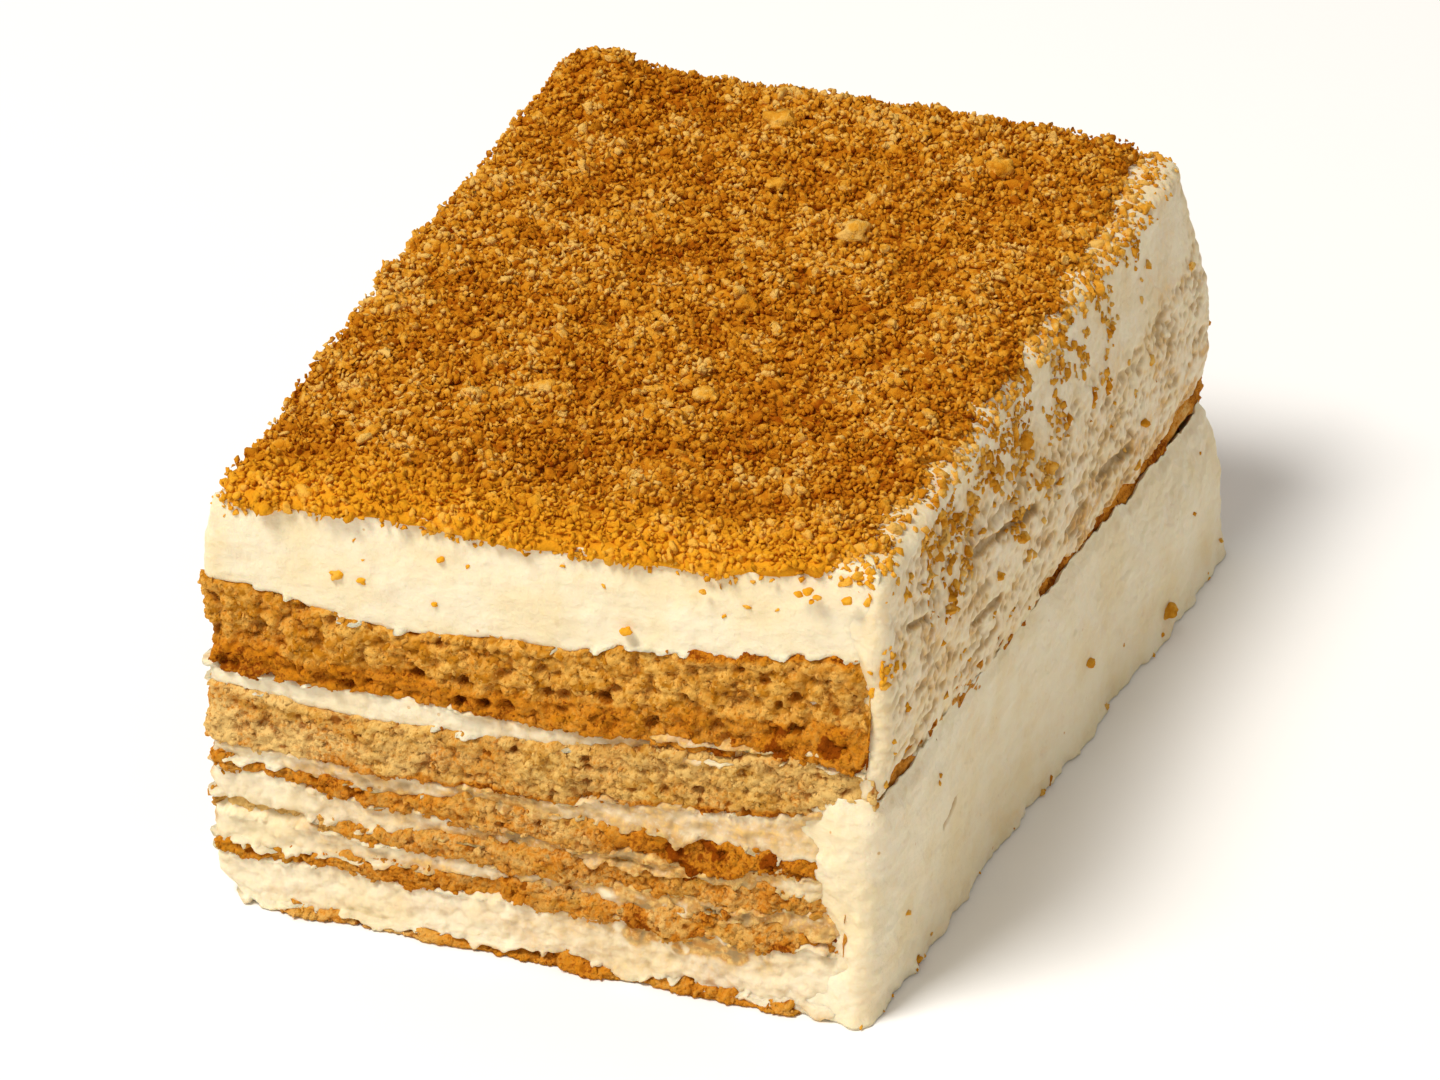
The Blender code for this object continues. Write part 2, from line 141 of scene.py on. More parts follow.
# %% [markdown]
# Torn sponge and spread cream are never even. Two kinds of unevenness are used on the meshes: slow lumps,
# the same ones as the solids have, and a quick rough grain worked out for a whole array at once.

# %% Lumps and grain


def crags(x, y, z, seed):
    """The slow lumps of a cut edge, between about -1 and 1."""
    where = np.stack(np.broadcast_arrays(x, y, z), -1).reshape(-1, 3) / 9.0
    found = [noise.noise(Vector((p[0] + 7.3 * seed, p[1], p[2]))) for p in where.tolist()]
    return np.array(found).reshape(np.broadcast(x, y, z).shape) * 1.8


ASKEW = np.array(Euler((0.5, 0.7, 0.3)).to_matrix())


def grain(x, y, z, size, seed):
    """Smooth random values between -1 and 1 that change over a distance of about size."""
    where = np.stack(np.broadcast_arrays(x, y, z), -1) @ ASKEW / size + 1000.0
    cell = np.floor(where).astype(np.int64)
    part = where - cell
    part = part * part * (3 - 2 * part)
    total = 0.0
    for corner in range(8):
        step = np.array((corner & 1, (corner >> 1) & 1, corner >> 2))
        spot = cell + step
        key = spot[..., 0] * 73856093 ^ spot[..., 1] * 19349663 ^ spot[..., 2] * 83492791 ^ (seed * 2654435)
        key = (key ^ (key >> 13)) * 1274126177 & 0xFFFFFFFF
        value = ((key ^ (key >> 16)) & 0xFFFF) / 32767.5 - 1
        weight = np.prod(np.where(step, part, 1 - part), -1)
        total = total + weight * value
    return total


test = grain(np.linspace(0, 50, 500), 0.0, 0.0, 3.0, 1)
print("grain from", round(float(test.min()), 2), "to", round(float(test.max()), 2))

# %% [markdown]
# The photograph looks down on the front right corner with a long lens. The camera could be placed by eye;
# here its place was worked out from the slice's corners in the picture, so that every layer falls where
# it should.

# %% Camera
turn, tilt = math.radians(18.52), math.radians(29.69)
to_camera = Vector((math.sin(turn) * math.cos(tilt), -math.cos(turn) * math.cos(tilt), math.sin(tilt)))
camera_right = Vector((math.cos(turn), math.sin(turn), 0.0))
camera_up = to_camera.cross(camera_right)
lens = bpy.data.cameras.new("camera")
lens.lens, lens.sensor_width, lens.clip_start = 112.5, 36.0, 0.01
camera = bpy.data.objects.new("camera", lens)
bpy.context.scene.collection.objects.link(camera)
spot = Vector((135.0, -411.07, 268.23)) * MM
facing = Matrix((camera_right, camera_up, to_camera)).transposed().to_4x4()
camera.matrix_world = Matrix.Translation(spot) @ facing
bpy.context.scene.camera = camera
print("camera", round(spot.length, 3), "m from the slice")

# %% [markdown]
# The picture is a plain studio shot on white: the front and the top are bright, the coated side is in
# soft shade. One large lamp from high on the front left gives that, and the pale floor throws light back
# into the shade. Blender's Standard view keeps the pale cream as bright as it is in the picture.

# %% Light and floor
scene = bpy.context.scene
scene.view_settings.view_transform = "Standard"
world = bpy.data.worlds.new("studio")
scene.world = world
world.use_nodes = True
backdrop = world.node_tree.nodes["Background"]
backdrop.inputs["Color"].default_value = (1.0, 0.95, 0.88, 1.0)
backdrop.inputs["Strength"].default_value = 0.42


def soft_lamp(name, azimuth, elevation, distance, size, watts, colour=(1.0, 0.975, 0.94)):
    """A square lamp that looks at the slice from an azimuth (0 is the front, 90 the coated side)."""
    a, e = math.radians(azimuth), math.radians(elevation)
    way = Vector((math.sin(a) * math.cos(e), -math.cos(a) * math.cos(e), math.sin(e)))
    lamp = bpy.data.lights.new(name, "AREA")
    lamp.size, lamp.energy, lamp.color = size, watts, colour
    holder = bpy.data.objects.new(name, lamp)
    scene.collection.objects.link(holder)
    facing = way.to_track_quat("Z", "Y").to_matrix().to_4x4()
    holder.matrix_world = Matrix.Translation(way * distance) @ facing
    return holder


soft_lamp("key_lamp", -34, 58, 2.0, 0.65, 36.0)

floor_mesh = bpy.data.meshes.new("floor")
corners = [(x * 3.0, y * 3.0, -0.0002) for x, y in ((-1, -1), (1, -1), (1, 1), (-1, 1))]
floor_mesh.from_pydata(corners, [], [(0, 1, 2, 3)])
floor = bpy.data.objects.new("floor", floor_mesh)
scene.collection.objects.link(floor)
floor_paint = bpy.data.materials.new("floor_paint")
floor_paint.use_nodes = True
floor_shader = floor_paint.node_tree.nodes["Principled BSDF"]
floor_shader.inputs["Base Color"].default_value = (0.97, 0.965, 0.955, 1.0)
floor_shader.inputs["Roughness"].default_value = 0.9
floor_shader.inputs["Specular IOR Level"].default_value = 0.1
floor_mesh.materials.append(floor_paint)

# %% [markdown]
# Materials and Geometry Nodes are both written as sums in Python. One small class wraps a socket, so that
# 1 - mask adds the Math node for it, and one method adds any other node with its settings and its
# sockets.

# %% Nodes written as sums


class Value:
    """The output of a node, ready for arithmetic."""

    def __init__(self, graph, socket):
        self.graph, self.socket = graph, socket

    def math(self, operation, *others, turned=False):
        order = (*others, self) if turned else (self, *others)
        return self.graph.add("ShaderNodeMath", {"operation": operation}, dict(enumerate(order)))

    def __add__(self, other):
        return self.math("ADD", other)

    def __sub__(self, other):
        return self.math("SUBTRACT", other)

    def __rsub__(self, other):
        return self.math("SUBTRACT", other, turned=True)

    def __mul__(self, other):
        return self.math("MULTIPLY", other)

    def __truediv__(self, other):
        return self.math("DIVIDE", other)

    def __rtruediv__(self, other):
        return self.math("DIVIDE", other, turned=True)

    def __pow__(self, other):
        return self.math("POWER", other)

    __radd__, __rmul__ = __add__, __mul__

    def between(self, low, high):
        """0 below low, 1 above high, eased between them. With low above high it runs the other way."""
        settings = {"interpolation_type": "SMOOTHSTEP"}
        return self.graph.add("ShaderNodeMapRange", settings, {0: self, 1: low, 2: high, 3: 0.0, 4: 1.0})


class Graph:
    """A node tree that nodes are added to."""

    def __init__(self, tree):
        self.tree = tree

    def add(self, kind, settings=None, sockets=None, out=0):
        node = self.tree.nodes.new(kind)
        for name, value in (settings or {}).items():
            if name == "stops":
                ramp = node.color_ramp.elements
                while len(ramp) < len(value):
                    ramp.new(0.5)
                for stop, (at, colour) in zip(ramp, value):
                    stop.position, stop.color = at, (*colour, 1.0)
            else:
                setattr(node, name, value)
        for key, value in (sockets or {}).items():
            target = node.inputs[key]
            if isinstance(value, Value):
                self.tree.links.new(value.socket, target)
            elif hasattr(target.default_value, "__len__") and len(value) < len(target.default_value):
                target.default_value = (*value, 1.0)
            else:
                target.default_value = value
        return Value(self, node.outputs[out]) if len(node.outputs) else node

    def mix(self, share, first, second):
        """A colour between two others."""
        return self.add("ShaderNodeMix", {"data_type": "RGBA"}, {0: share, 6: first, 7: second}, out=2)

    def stretch(self, vector, factors):
        return self.add("ShaderNodeVectorMath", {"operation": "MULTIPLY"}, {0: vector, 1: factors})

    def noise(self, vector, size, detail=2.0, rough=0.5):
        """Noise with blobs of about size, in the vector's own unit."""
        sockets = {"Vector": vector, "Scale": 1 / size, "Detail": detail, "Roughness": rough}
        return self.add("ShaderNodeTexNoise", {}, sockets)

    def cells(self, vector, size):
        """Distance to the nearest of many scattered points, about 0 at a point and 0.6 between them."""
        sockets = {"Vector": vector, "Scale": 1 / size, "Randomness": 1.0}
        return self.add("ShaderNodeTexVoronoi", {}, sockets)


def new_finish(name, roughness=0.8, specular=0.25, **constants):
    """A new material, its graph, its shader, and a point on the piece in millimetres."""
    material = bpy.data.materials.new(name)
    material.use_nodes = True
    shader = material.node_tree.nodes["Principled BSDF"]
    shader.inputs["Roughness"].default_value = roughness
    shader.inputs["Specular IOR Level"].default_value = specular
    for key, value in constants.items():
        shader.inputs[key.replace("_", " ")].default_value = value
    graph = Graph(material.node_tree)
    metres = graph.add("ShaderNodeTexCoord", out=3)
    return material, graph, shader, graph.stretch(metres, (1000.0, 1000.0, 1000.0))


def feed(graph, shader, colour, height, depth):
    """Joins a colour and a bump height, whose unit is depth millimetres, to the shader."""
    graph.tree.links.new(colour.socket, shader.inputs["Base Color"])
    sockets = {"Strength": 1.0, "Distance": depth * MM, "Height": height}
    normal = graph.add("ShaderNodeBump", {}, sockets)
    graph.tree.links.new(normal.socket, shader.inputs["Normal"])


print("socket class ready")

# %% [markdown]
# Cream is pale ivory with a soft sheen, and light travels a little way inside it. Fine specks of crumb
# are mixed in, and syrup and crumb stain it where the knife has dragged them through. Each point of the
# mesh carries the strength of that stain, so the thin sheets of cream can be dirty and the thick top
# cream clean. It also carries how deep it lies in a crease or hollow, where painted shade darkens it,
# more so where it is stained.

# %% Cream finish


def number(graph, name):
    """A number that is stored on the points of the mesh."""
    return graph.add("ShaderNodeAttribute", {"attribute_name": name}, out=2)


def cream_finish(name, tint):
    soft = {"Subsurface_Weight": 0.3, "Subsurface_Scale": 0.001, "Subsurface_Radius": (1.0, 0.6, 0.3)}
    material, graph, shader, point = new_finish(name, roughness=0.5, specular=0.3, **soft)
    deep = tuple(c * f for c, f in zip(tint, (0.95, 0.9, 0.78)))
    colour = graph.mix(graph.noise(point, 7.0, 3.0).between(0.35, 0.7), tint, deep)
    freckle = graph.noise(point, 1.5, 3.0, 0.6).between(0.6, 0.72)
    freckle = freckle * graph.noise(point, 8.0, 1.0).between(0.4, 0.6)
    colour = graph.mix(freckle * 0.3, colour, (0.74, 0.57, 0.25))
    speck = graph.cells(point, 2.8).between(0.09, 0.05) * graph.noise(point, 6.0, 1.0).between(0.5, 0.62)
    colour = graph.mix(speck * 0.7, colour, (0.6, 0.3, 0.05))
    wander = graph.noise(point, 0.8, 3.0, 0.6)
    stain = (number(graph, "stain") + (wander - 0.5) * number(graph, "stain") * 2.2).between(0.0, 1.1)
    syrup = graph.mix(wander.between(0.4, 0.65), (0.56, 0.27, 0.05), (0.8, 0.51, 0.16))
    colour = graph.mix(stain, colour, syrup)
    # Painted shade: creases and hollows (pit) are mixed toward brown, more where the cream is stained.
    crease = number(graph, "pit") * (number(graph, "stain") + 0.12)
    colour = graph.mix(crease, colour, (0.4, 0.26, 0.1))
    drawn_out = graph.stretch(point, (0.4, 0.4, 1.4))
    height = graph.noise(point, 0.8, 4.0, 0.6) + graph.noise(drawn_out, 2.4, 2.0) * 0.8
    feed(graph, shader, colour, height, 0.2)
    return material


cream = cream_finish("cream", (0.89, 0.785, 0.56))
print("cream material", cream.name)

# %% [markdown]
# Honey sponge is toasted brown. Its broken walls catch the light, and its pores and the creases between
# its lumps get painted shade. The lower part has drunk syrup and turned deep orange, and the skin that lay
# on the baking sheet is nearly burnt. The mesh carries how toasted each point is, how much cream has
# soaked into it and how deep in a pore or crease it lies, which sets the painted shade.

# %% Sponge finish


def sponge_finish(name, light, middle):
    material, graph, shader, point = new_finish(name, roughness=0.9, specular=0.02)
    fine = graph.noise(point, 0.5, 3.0, 0.65)
    patch = graph.noise(point, 2.6, 3.0, 0.6)
    tone = number(graph, "tone")
    colour = graph.mix((tone * 0.8 + patch * 0.6 + fine * 0.4 - 0.4).between(0.2, 0.8), middle, light)
    soaked = (number(graph, "stain") * (0.35 + fine * 1.3)).between(0.05, 1.0)
    colour = graph.mix(soaked, colour, (0.86, 0.56, 0.19))
    toast = number(graph, "toast") + (fine - 0.5) * 1.8 + (patch - 0.5) * 0.8 + (tone - 0.5) * 0.5
    colour = graph.mix(toast.between(0.1, 0.75) * 0.9, colour, (0.64, 0.22, 0.009))
    colour = graph.mix(toast.between(0.7, 1.25) * 0.9, colour, (0.22, 0.035, 0.001))
    colour = graph.mix(fine.between(0.44, 0.3) * 0.55, colour, (0.34, 0.1, 0.002))
    # Painted shade: the deeper a point lies in a pore or crease, the darker brown it is painted.
    colour = graph.mix(number(graph, "pit").between(0.15, 0.8) * 0.85, colour, (0.28, 0.065, 0.0))
    height = graph.noise(point, 0.4, 4.0, 0.7) - graph.cells(point, 0.7).between(0.35, 0.1) * 0.5
    feed(graph, shader, colour, height, 0.3)
    return material


honey = sponge_finish("honey_sponge", (0.87, 0.49, 0.105), (0.55, 0.215, 0.012))
pale = sponge_finish("pale_sponge", (0.84, 0.53, 0.15), (0.58, 0.27, 0.035))
thin = sponge_finish("thin_sponge", (0.84, 0.5, 0.12), (0.58, 0.25, 0.02))
print("sponge materials", honey.name, pale.name, thin.name)

# %% [markdown]
# The crumbs on top are toasted sponge rubbed through a sieve. Each one has a tone of its own, from golden
# to nearly burnt, so the tone is stored on each crumb and a colour ramp turns it into a colour. The bed's
# height is added to the tone as painted shade and light: darker in its hollows, paler on its humps.

# %% Crumb finish


def crumb_finish(name):
    material, graph, shader, point = new_finish(name, roughness=0.85, specular=0.05)
    tone = number(graph, "tone")
    drift, clump = graph.noise(point, 7.0, 3.0, 0.55), graph.noise(point, 1.6, 2.0, 0.6)
    stops = (
        (0.0, (0.34, 0.07, 0.001)),
        (0.25, (0.45, 0.13, 0.003)),
        (0.55, (0.64, 0.24, 0.009)),
        (0.8, (0.78, 0.37, 0.035)),
        (1.0, (0.84, 0.5, 0.12)),
    )
    parts = graph.add("ShaderNodeSeparateXYZ", {}, {0: point})
    mixed = tone * 0.62 + drift * 0.75 + clump * 1.1 + graph.noise(point, 0.5, 2.0) * 0.4 - 0.8
    mixed = mixed + parts.between(-22.0, -40.0) * 0.09
    colour = graph.add("ShaderNodeValToRGB", {"stops": stops}, {0: mixed})
    near_front = Value(graph, parts.socket.node.outputs[1]).between(-40.0, -53.0)
    colour = graph.mix(near_front * 0.6, colour, (0.95, 0.43, 0.016))
    feed(graph, shader, colour, graph.noise(point, 0.3, 3.0, 0.7), 0.25)
    return material


toasted = crumb_finish("toasted_crumb")
print("crumb material", toasted.name)

# %% [markdown]
# A layer shows as a band round the cut faces. Its mesh is a fine net round the slice's outline, closed by
# coarse lids where nobody looks. Neighbouring bands overlap by about a millimetre and lean inwards at
# their rims, so whichever stands out further is seen, and the line between cream and sponge comes out
# ragged, as a knife leaves it.

# %% The outline and the net of a layer
# How much further out a layer stands on the left face and on the front.
LEFT_LEDGE = {"sponge_1": 0.1, "sponge_2": -0.1, "sponge_3": -0.5, "sponge_5": -0.3, "base_sponge": -0.3}
FRONT_LEDGE = {"base_sponge": 0.6, "sponge_1": -0.2}
# How far the two thick sponges swell over the thin cream between them, at the right of the front.
SPREAD = {"sponge_1": 0.9, "sponge_2": 0.6}
# The coat's thickness above and below the seam, and the part of sponge_2 that reaches out to the seam.
COAT_UPPER, COAT_LOWER = 2.0, 3.4
LIP_LOW, LIP_HIGH, LIP_DEPTH = 0.26, 0.88, 0.3
# Along the coated side from front to back: the bare rim beside the crumbs, and how far the top leans in.
MARGIN = ((0.0, 0.1, 0.3, 0.4, 0.6, 0.78, 0.92, 1.0), (4.4, 4.4, 3.8, 4.0, 4.0, 4.2, 6.3, 6.2))
LEAN = ((0.0, 0.1, 0.3, 0.4, 0.6, 0.78, 0.92, 1.0), (0.7, 1.2, 2.0, 2.5, 2.5, 2.1, 2.4, 3.0))
WIDE, DEEP = FOOT[1][0] - FOOT[0][0], FOOT[3][1] - FOOT[0][1]


def corner_run():
    """The outline from the front right corner on: distance run, u, v and the way it faces."""
    r = CORNER_RADIUS
    corners = ((WIDE - r, r, -0.25), (WIDE - r, DEEP - r, 0.0), (r, DEEP - r, 0.25), (r, r, 0.5))
    points, angles = [], []
    for cx, cy, start in corners:
        for step in range(9):
            angle = (start + 0.25 * step / 8) * math.tau
            angles.append(angle)
            points.append((cx + r * math.cos(angle), cy + r * math.sin(angle)))
    points, angles = np.array(points + points[:1]), np.array(angles + [0.75 * math.tau])
    run = np.concatenate([[0.0], np.cumsum(np.linalg.norm(np.diff(points, axis=0), axis=1))])
    return run, points[:, 0] / WIDE, points[:, 1] / DEEP, angles


RUN = corner_run()


def at_run(where):
    """The unit-square point and the outward way at distances along the outline."""
    run, u, v, angles = RUN
    where = np.mod(where, run[-1])
    angle = np.interp(where, run, angles)
    return np.interp(where, run, u), np.interp(where, run, v), np.cos(angle), np.sin(angle)


def outline(front, back, left, right):
    """Points round the whole outline with a spacing in millimetres for each face."""
    fine = np.linspace(0, RUN[0][-1], 4000)
    _, _, nx, ny = at_run(fine)
    spacing = np.where(nx > 0.8, right, np.where(ny > 0.7, back, np.where(nx < -0.7, left, front)))
    number_at = np.concatenate([[0.0], np.cumsum(np.diff(fine) / spacing[:-1])])
    count = int(number_at[-1] // 16) * 16
    return at_run(np.interp(np.arange(count) * number_at[-1] / count, number_at, fine))


def stitch(wide, narrow):
    """Triangles between two rings of point numbers, the first a whole number of times as long."""
    ratio, faces = len(wide) // len(narrow), []
    for k, inner in enumerate(narrow):
        after = narrow[(k + 1) % len(narrow)]
        for step in range(ratio):
            i = k * ratio + step
            near = inner if step <= ratio // 2 else after
            faces.append((wide[i], wide[(i + 1) % len(wide)], near))
            if step == ratio // 2 and len(narrow) > 1:
                faces.append((wide[(i + 1) % len(wide)], after, inner))
    return faces


def make_piece(name, points, faces, material, **numbers):
    """An object from points in millimetres, with a number stored on each point for each keyword."""
    mesh = bpy.data.meshes.new(name)
    points = np.asarray(points, float) + SHIFT
    points[:, 2] = np.maximum(points[:, 2], 0.0)
    mesh.from_pydata((points * MM).tolist(), [], faces)
    for key, values in numbers.items():
        values = np.asarray(values, np.float32)
        kind, field = ("FLOAT", "value") if values.ndim == 1 else ("FLOAT_VECTOR", "vector")
        mesh.attributes.new(key, kind, "POINT").data.foreach_set(field, values.ravel())
    mesh.materials.append(material)
    mesh.shade_smooth()
    made = bpy.data.objects.new(name, mesh)
    scene.collection.objects.link(made)
    return made


FINE, SOFT = outline(0.19, 0.4, 0.4, 1.2), outline(0.3, 0.5, 0.5, 1.2)
print("the outlines have", len(FINE[0]), "and", len(SOFT[0]), "points")

# %% [markdown]
# The finish changes along each layer. Five numbers say it, one for each station of the front from left to
# right: how far the knife dragged the cream over the sponge, how stained the cream or soaked the sponge
# is, how toasted the sponge is, and how much of a thin sheet is torn away. The hidden faces take the
# mean.

# %% What happens along each layer
REACH = {
    "cream_1": (0.15, 0.15, 0.2, 0.2, 0.1),
    "cream_2": (0.4, 0.4, 0.4, 0.8, 0.9),
    "cream_3": (0.4, 0.6, 0.5, 1.0, 1.4),
    "cream_4": (1.0, 0.8, 0.8, 1.6, 1.3),
    "cream_5": (0.8, 0.7, 0.8, 1.0, 1.2),
    "cream_6": (0.5, 0.6, 0.7, 0.8, 1.2),
}
STAIN = {
    "cream_1": (0.0, 0.0, 0.0, 0.0, 0.0),
    "cream_2": (0.0, 0.1, 0.35, 0.7, 0.8),
    "cream_3": (0.25, 0.6, 1.0, 0.5, 0.45),
    "cream_4": (0.15, 0.35, 1.1, 0.9, 0.7),
    "cream_5": (0.15, 0.35, 0.95, 1.1, 0.8),
    "cream_6": (0.15, 0.18, 0.3, 0.3, 0.22),
    "sponge_1": (0.0, 0.0, 0.1, 0.15, 0.15),
    "sponge_2": (0.95, 0.6, 0.3, 0.4, 0.5),
    "sponge_3": (0.2, 0.3, 0.6, 0.15, 0.1),
    "sponge_4": (0.6, 0.45, 0.5, 0.4, 0.4),
    "sponge_5": (0.1, 0.3, 0.45, 0.5, 0.3),
    "base_sponge": (0.3, 0.4, 0.1, 0.1, 0.1),
}
TOAST = {
    "sponge_1": (0.3, 0.2, 0.15, 0.05, 0.1),
    "sponge_2": (0.05, 0.05, 0.05, 0.0, 0.05),
    "sponge_3": (0.6, 0.6, 0.25, 0.75, 0.7),
    "sponge_4": (0.2, 0.4, 0.45, 0.45, 0.4),
    "sponge_5": (0.65, 0.55, 0.45, 0.3, 0.5),
    "base_sponge": (0.4, 0.3, 0.6, 0.55, 0.5),
}
TORN = {
    "sponge_3": (0.0, 0.1, 0.2, 0.1, 0.2),
    "sponge_4": (0.85, 0.3, 0.25, 0.3, 0.4),
    "sponge_5": (0.0, 0.15, 0.25, 0.4, 0.35),
}


def along(table, name, x, face):
    """A layer's number at x on the front, and the mean elsewhere. face is 1 on the front."""
    values = table.get(name, (0.0,) * 5)
    return front_profile(values, x) * face + sum(values) / 5 * (1 - face)


def ripple(index, x, y):
    """The quick wander of the line between two layers, along the cut."""
    if index in (0, len(NAMES)):
        return 0.0 * x
    strength = 0.3
    if index < LIP:
        strength = 0.5 + 0.45 * smooth_step(0.0, 14.0, x) * smooth_step(-44.0, -52.0, y)
    wander = grain(x, y, 0, 7.0, 60 + index) + 0.7 * grain(x, y, 0, 2.6, 80 + index)
    return strength * (wander + 0.6 * grain(x, y, 0, 1.1, 40 + index))


def base_lumps(x):
    """1 where the lowest sheet bulges out of the front, 0 where only its edge shows."""
    total = 0.0 * x
    for start, end in ((-29.0, -23.0), (-15.0, -10.0), (1.0, 6.5), (11.0, 20.5), (24.5, 27.0)):
        total = total + smooth_step(start - 1.8, start + 1.0, x) * smooth_step(end + 1.8, end - 1.0, x)
    return np.clip(total, 0, 1)


def toasting(name, x, y, z, share, face, side):
    """How toasted a sponge is, from 0 to about 1."""
    toast = along(TOAST, name, x, face) + 0.22 * grain(x, y, z, 3.2, 120) + 0.1 * grain(x, y, z, 1.4, 121)
    edge = share + 0.1 * grain(x, y, z, 2.5, 122)
    if name == "sponge_1":
        toast = toast + 0.5 * smooth_step(0.44, 0.28, edge)
        toast = toast + 0.8 * smooth_step(0.94, 1.0, share) * smooth_step(4.0, 12.0, x)
        clots = smooth_step(-0.1, 0.5, grain(x, y, z, 2.2, 123) + 0.6 * grain(x, y, z, 0.9, 124))
        toast = toast + 0.8 * clots * smooth_step(10, 20, x) * smooth_step(0.42, 0.2, share)
    elif name == "sponge_2":
        crust = smooth_step(0.18, 0.05, edge) * smooth_step(-35, -10, x)
        toast = toast + 0.35 * grain(x, y, z, 3.5, 127) + 0.75 * crust + 0.8 * side
    elif name in ("sponge_3", "sponge_5"):
        clots = smooth_step(0.0, 0.5, grain(x, y, z, 2.0, 125) + 0.5 * grain(x, y, z, 0.9, 126))
        toast = toast + 0.7 * clots * smooth_step(4, 12, x) * face
    return toast


print("layers with a table", len(STAIN))

# %% [markdown]
# How far each point of the band stands out is the heart of the look. Sponge stands a little proud and
# crumbles away at its rims. Cream sits back, but the knife drags it over the sponge here and there in
# thin smears.

# %% How far a layer stands out


def stand_out(name, v, nx, x, y, z, inside, share, face):
    """Millimetres out of the outline, and how thin a smear is. inside is how far the rim is."""
    index = NAMES.index(name)
    left, right = smooth_step(0.3, 0.9, -nx), smooth_step(0.3, 0.9, nx)
    toward = share < 0.5 if name == "sponge_1" else share > 0.5
    spread = SPREAD.get(name, 0.0) * face * smooth_step(6.0, 14.0, x) * toward
    slow = crags(x, y, z, index)
    quick = grain(x, y, z, 1.3, 5 + index)
    tiny = grain(x, y, z, 0.6, 25 + index)
    film = 0 * x
    if "cream" in name:
        out = -0.2 + 0.18 * slow + 0.1 * grain(x, y, z * 2.0, 2.5, 45 + index) + 0.05 * quick
        out = out - (1.5 if index > LIP else 1.1) * np.maximum(0.15 - inside, 0)
        if index < LIP:
            out = out + 0.1 + 0.25 * grain(x, y, z * 1.5, 1.8, 46 + index) + 0.12 * tiny
        drag = np.clip(grain(x, y, 0, 5.0, 90 + index) + 0.4 * grain(x, y, 0, 1.6, 91) + 0.1, 0, 1)
        drag = drag * along(REACH, name, x, face)
        if name == "cream_6":
            drag = drag + 0.8 * face * (1 - base_lumps(x)) * (z < 3)
        cover = smooth_step(-0.25, 0.35, drag + inside + 0.6 * quick + 0.3 * tiny) * (inside < 0)
        out = out * (1 - cover) + (0.45 + 0.22 * quick + 0.1 * tiny) * cover
        film = cover * smooth_step(0.0, -1.2, inside)
    else:
        out = (0.4 if index >= LIP else 0.25) + 0.45 * slow + 0.3 * quick + 0.12 * tiny
        out = out - (1.3 if index >= LIP else 0.9) * np.maximum(0.3 - inside - spread, 0)
        gap = along(TORN, name, x, face)
        whole = grain(x * 0.6, y * 0.6, 0 * z, 3.5, 65 + index) + 1 - 2 * gap
        out = out - 1.5 * smooth_step(0.2, -0.2, whole)
        if name == "base_sponge":
            ends = smooth_step(26.5, 29.0, x) + smooth_step(-30.0, -32.5, x)
            lumps = base_lumps(x + 1.0 * grain(x, y, z * 1.5, 1.4, 130))
            out = out + face * (0.6 * lumps - 0.5 - 2.0 * ends)
            out = out - 1.8 * face * (1 - lumps) * smooth_step(0.15, 0.6, z)
            out = out - 1.2 * face * lumps * smooth_step(0.5, 1.4, z + 0.5 * quick)
    out = out + LEFT_LEDGE.get(name, 0.0) * left + FRONT_LEDGE.get(name, 0.0) * smooth_step(0.02, 0.0, v)
    if name == "sponge_1":
        out = out - 1.9 * left * smooth_step(0.6, 0.35, share)
    if name == "cream_1":
        front, back = smooth_step(0.02, 0.0, v), smooth_step(0.98, 1.0, v)
        rounding = 3.0 * right + 2.0 * left * (1 - 0.6 * v) + 0.8 * front + 0.9 * back
        behind_coat = 0.9 + 1.4 * smooth_step(-0.2, 0.5, share)
        out = out - behind_coat * right - rounding * np.clip(share, 0, 1) ** 3
    return out, film


def lean(v, z):
    """How far the top of the coated side slopes inwards, down from the edge of the crumbs."""
    return np.interp(v, *LEAN) * smooth_step(32.0, 49.0, z) ** 1.3


def room_for_coat(name, share):
    """How far inside the coated side a layer ends. The layers run a little into the coat."""
    if name in ("cream_1", "cream_6"):
        return np.full_like(share, 0.9)
    room = np.full_like(share, COAT_UPPER if NAMES.index(name) > LIP else COAT_LOWER) - 0.4
    if name == "sponge_2":
        lip = smooth_step(LIP_LOW - 0.1, LIP_LOW, share) * smooth_step(LIP_HIGH + 0.1, LIP_HIGH, share)
        room = room * (1 - lip) + LIP_DEPTH * lip
    return room


def seam_holes(y):
    """1 at the three holes in the seam of the coated side, where dark sponge shows."""
    return sum(np.exp(-(((y - at) / wide) ** 2)) for at, wide in ((-49.0, 3.0), (0.0, 3.5), (47.0, 6.0)))


SEAM_AT = (-54, -51, -49, -46, -43, -10, 0, 6, 12, 22, 32, 42, 54)
SEAM_OPEN = (-0.5, 0.1, 0.9, 0.5, -0.6, -0.6, 1.2, -0.1, 0.6, 1.2, 0.8, 2.3, 2.1)


def seam_gap(y):
    """How far the two bands of the coat are drawn back from the seam."""
    return np.interp(y, SEAM_AT, SEAM_OPEN)


def foot_corner(x, z):
    """Rounds off the left end of the foot, as in the picture."""
    return 3.0 * smooth_step(4.2, 0.0, z) ** 1.3 * smooth_step(-30.0, -37.5, x)


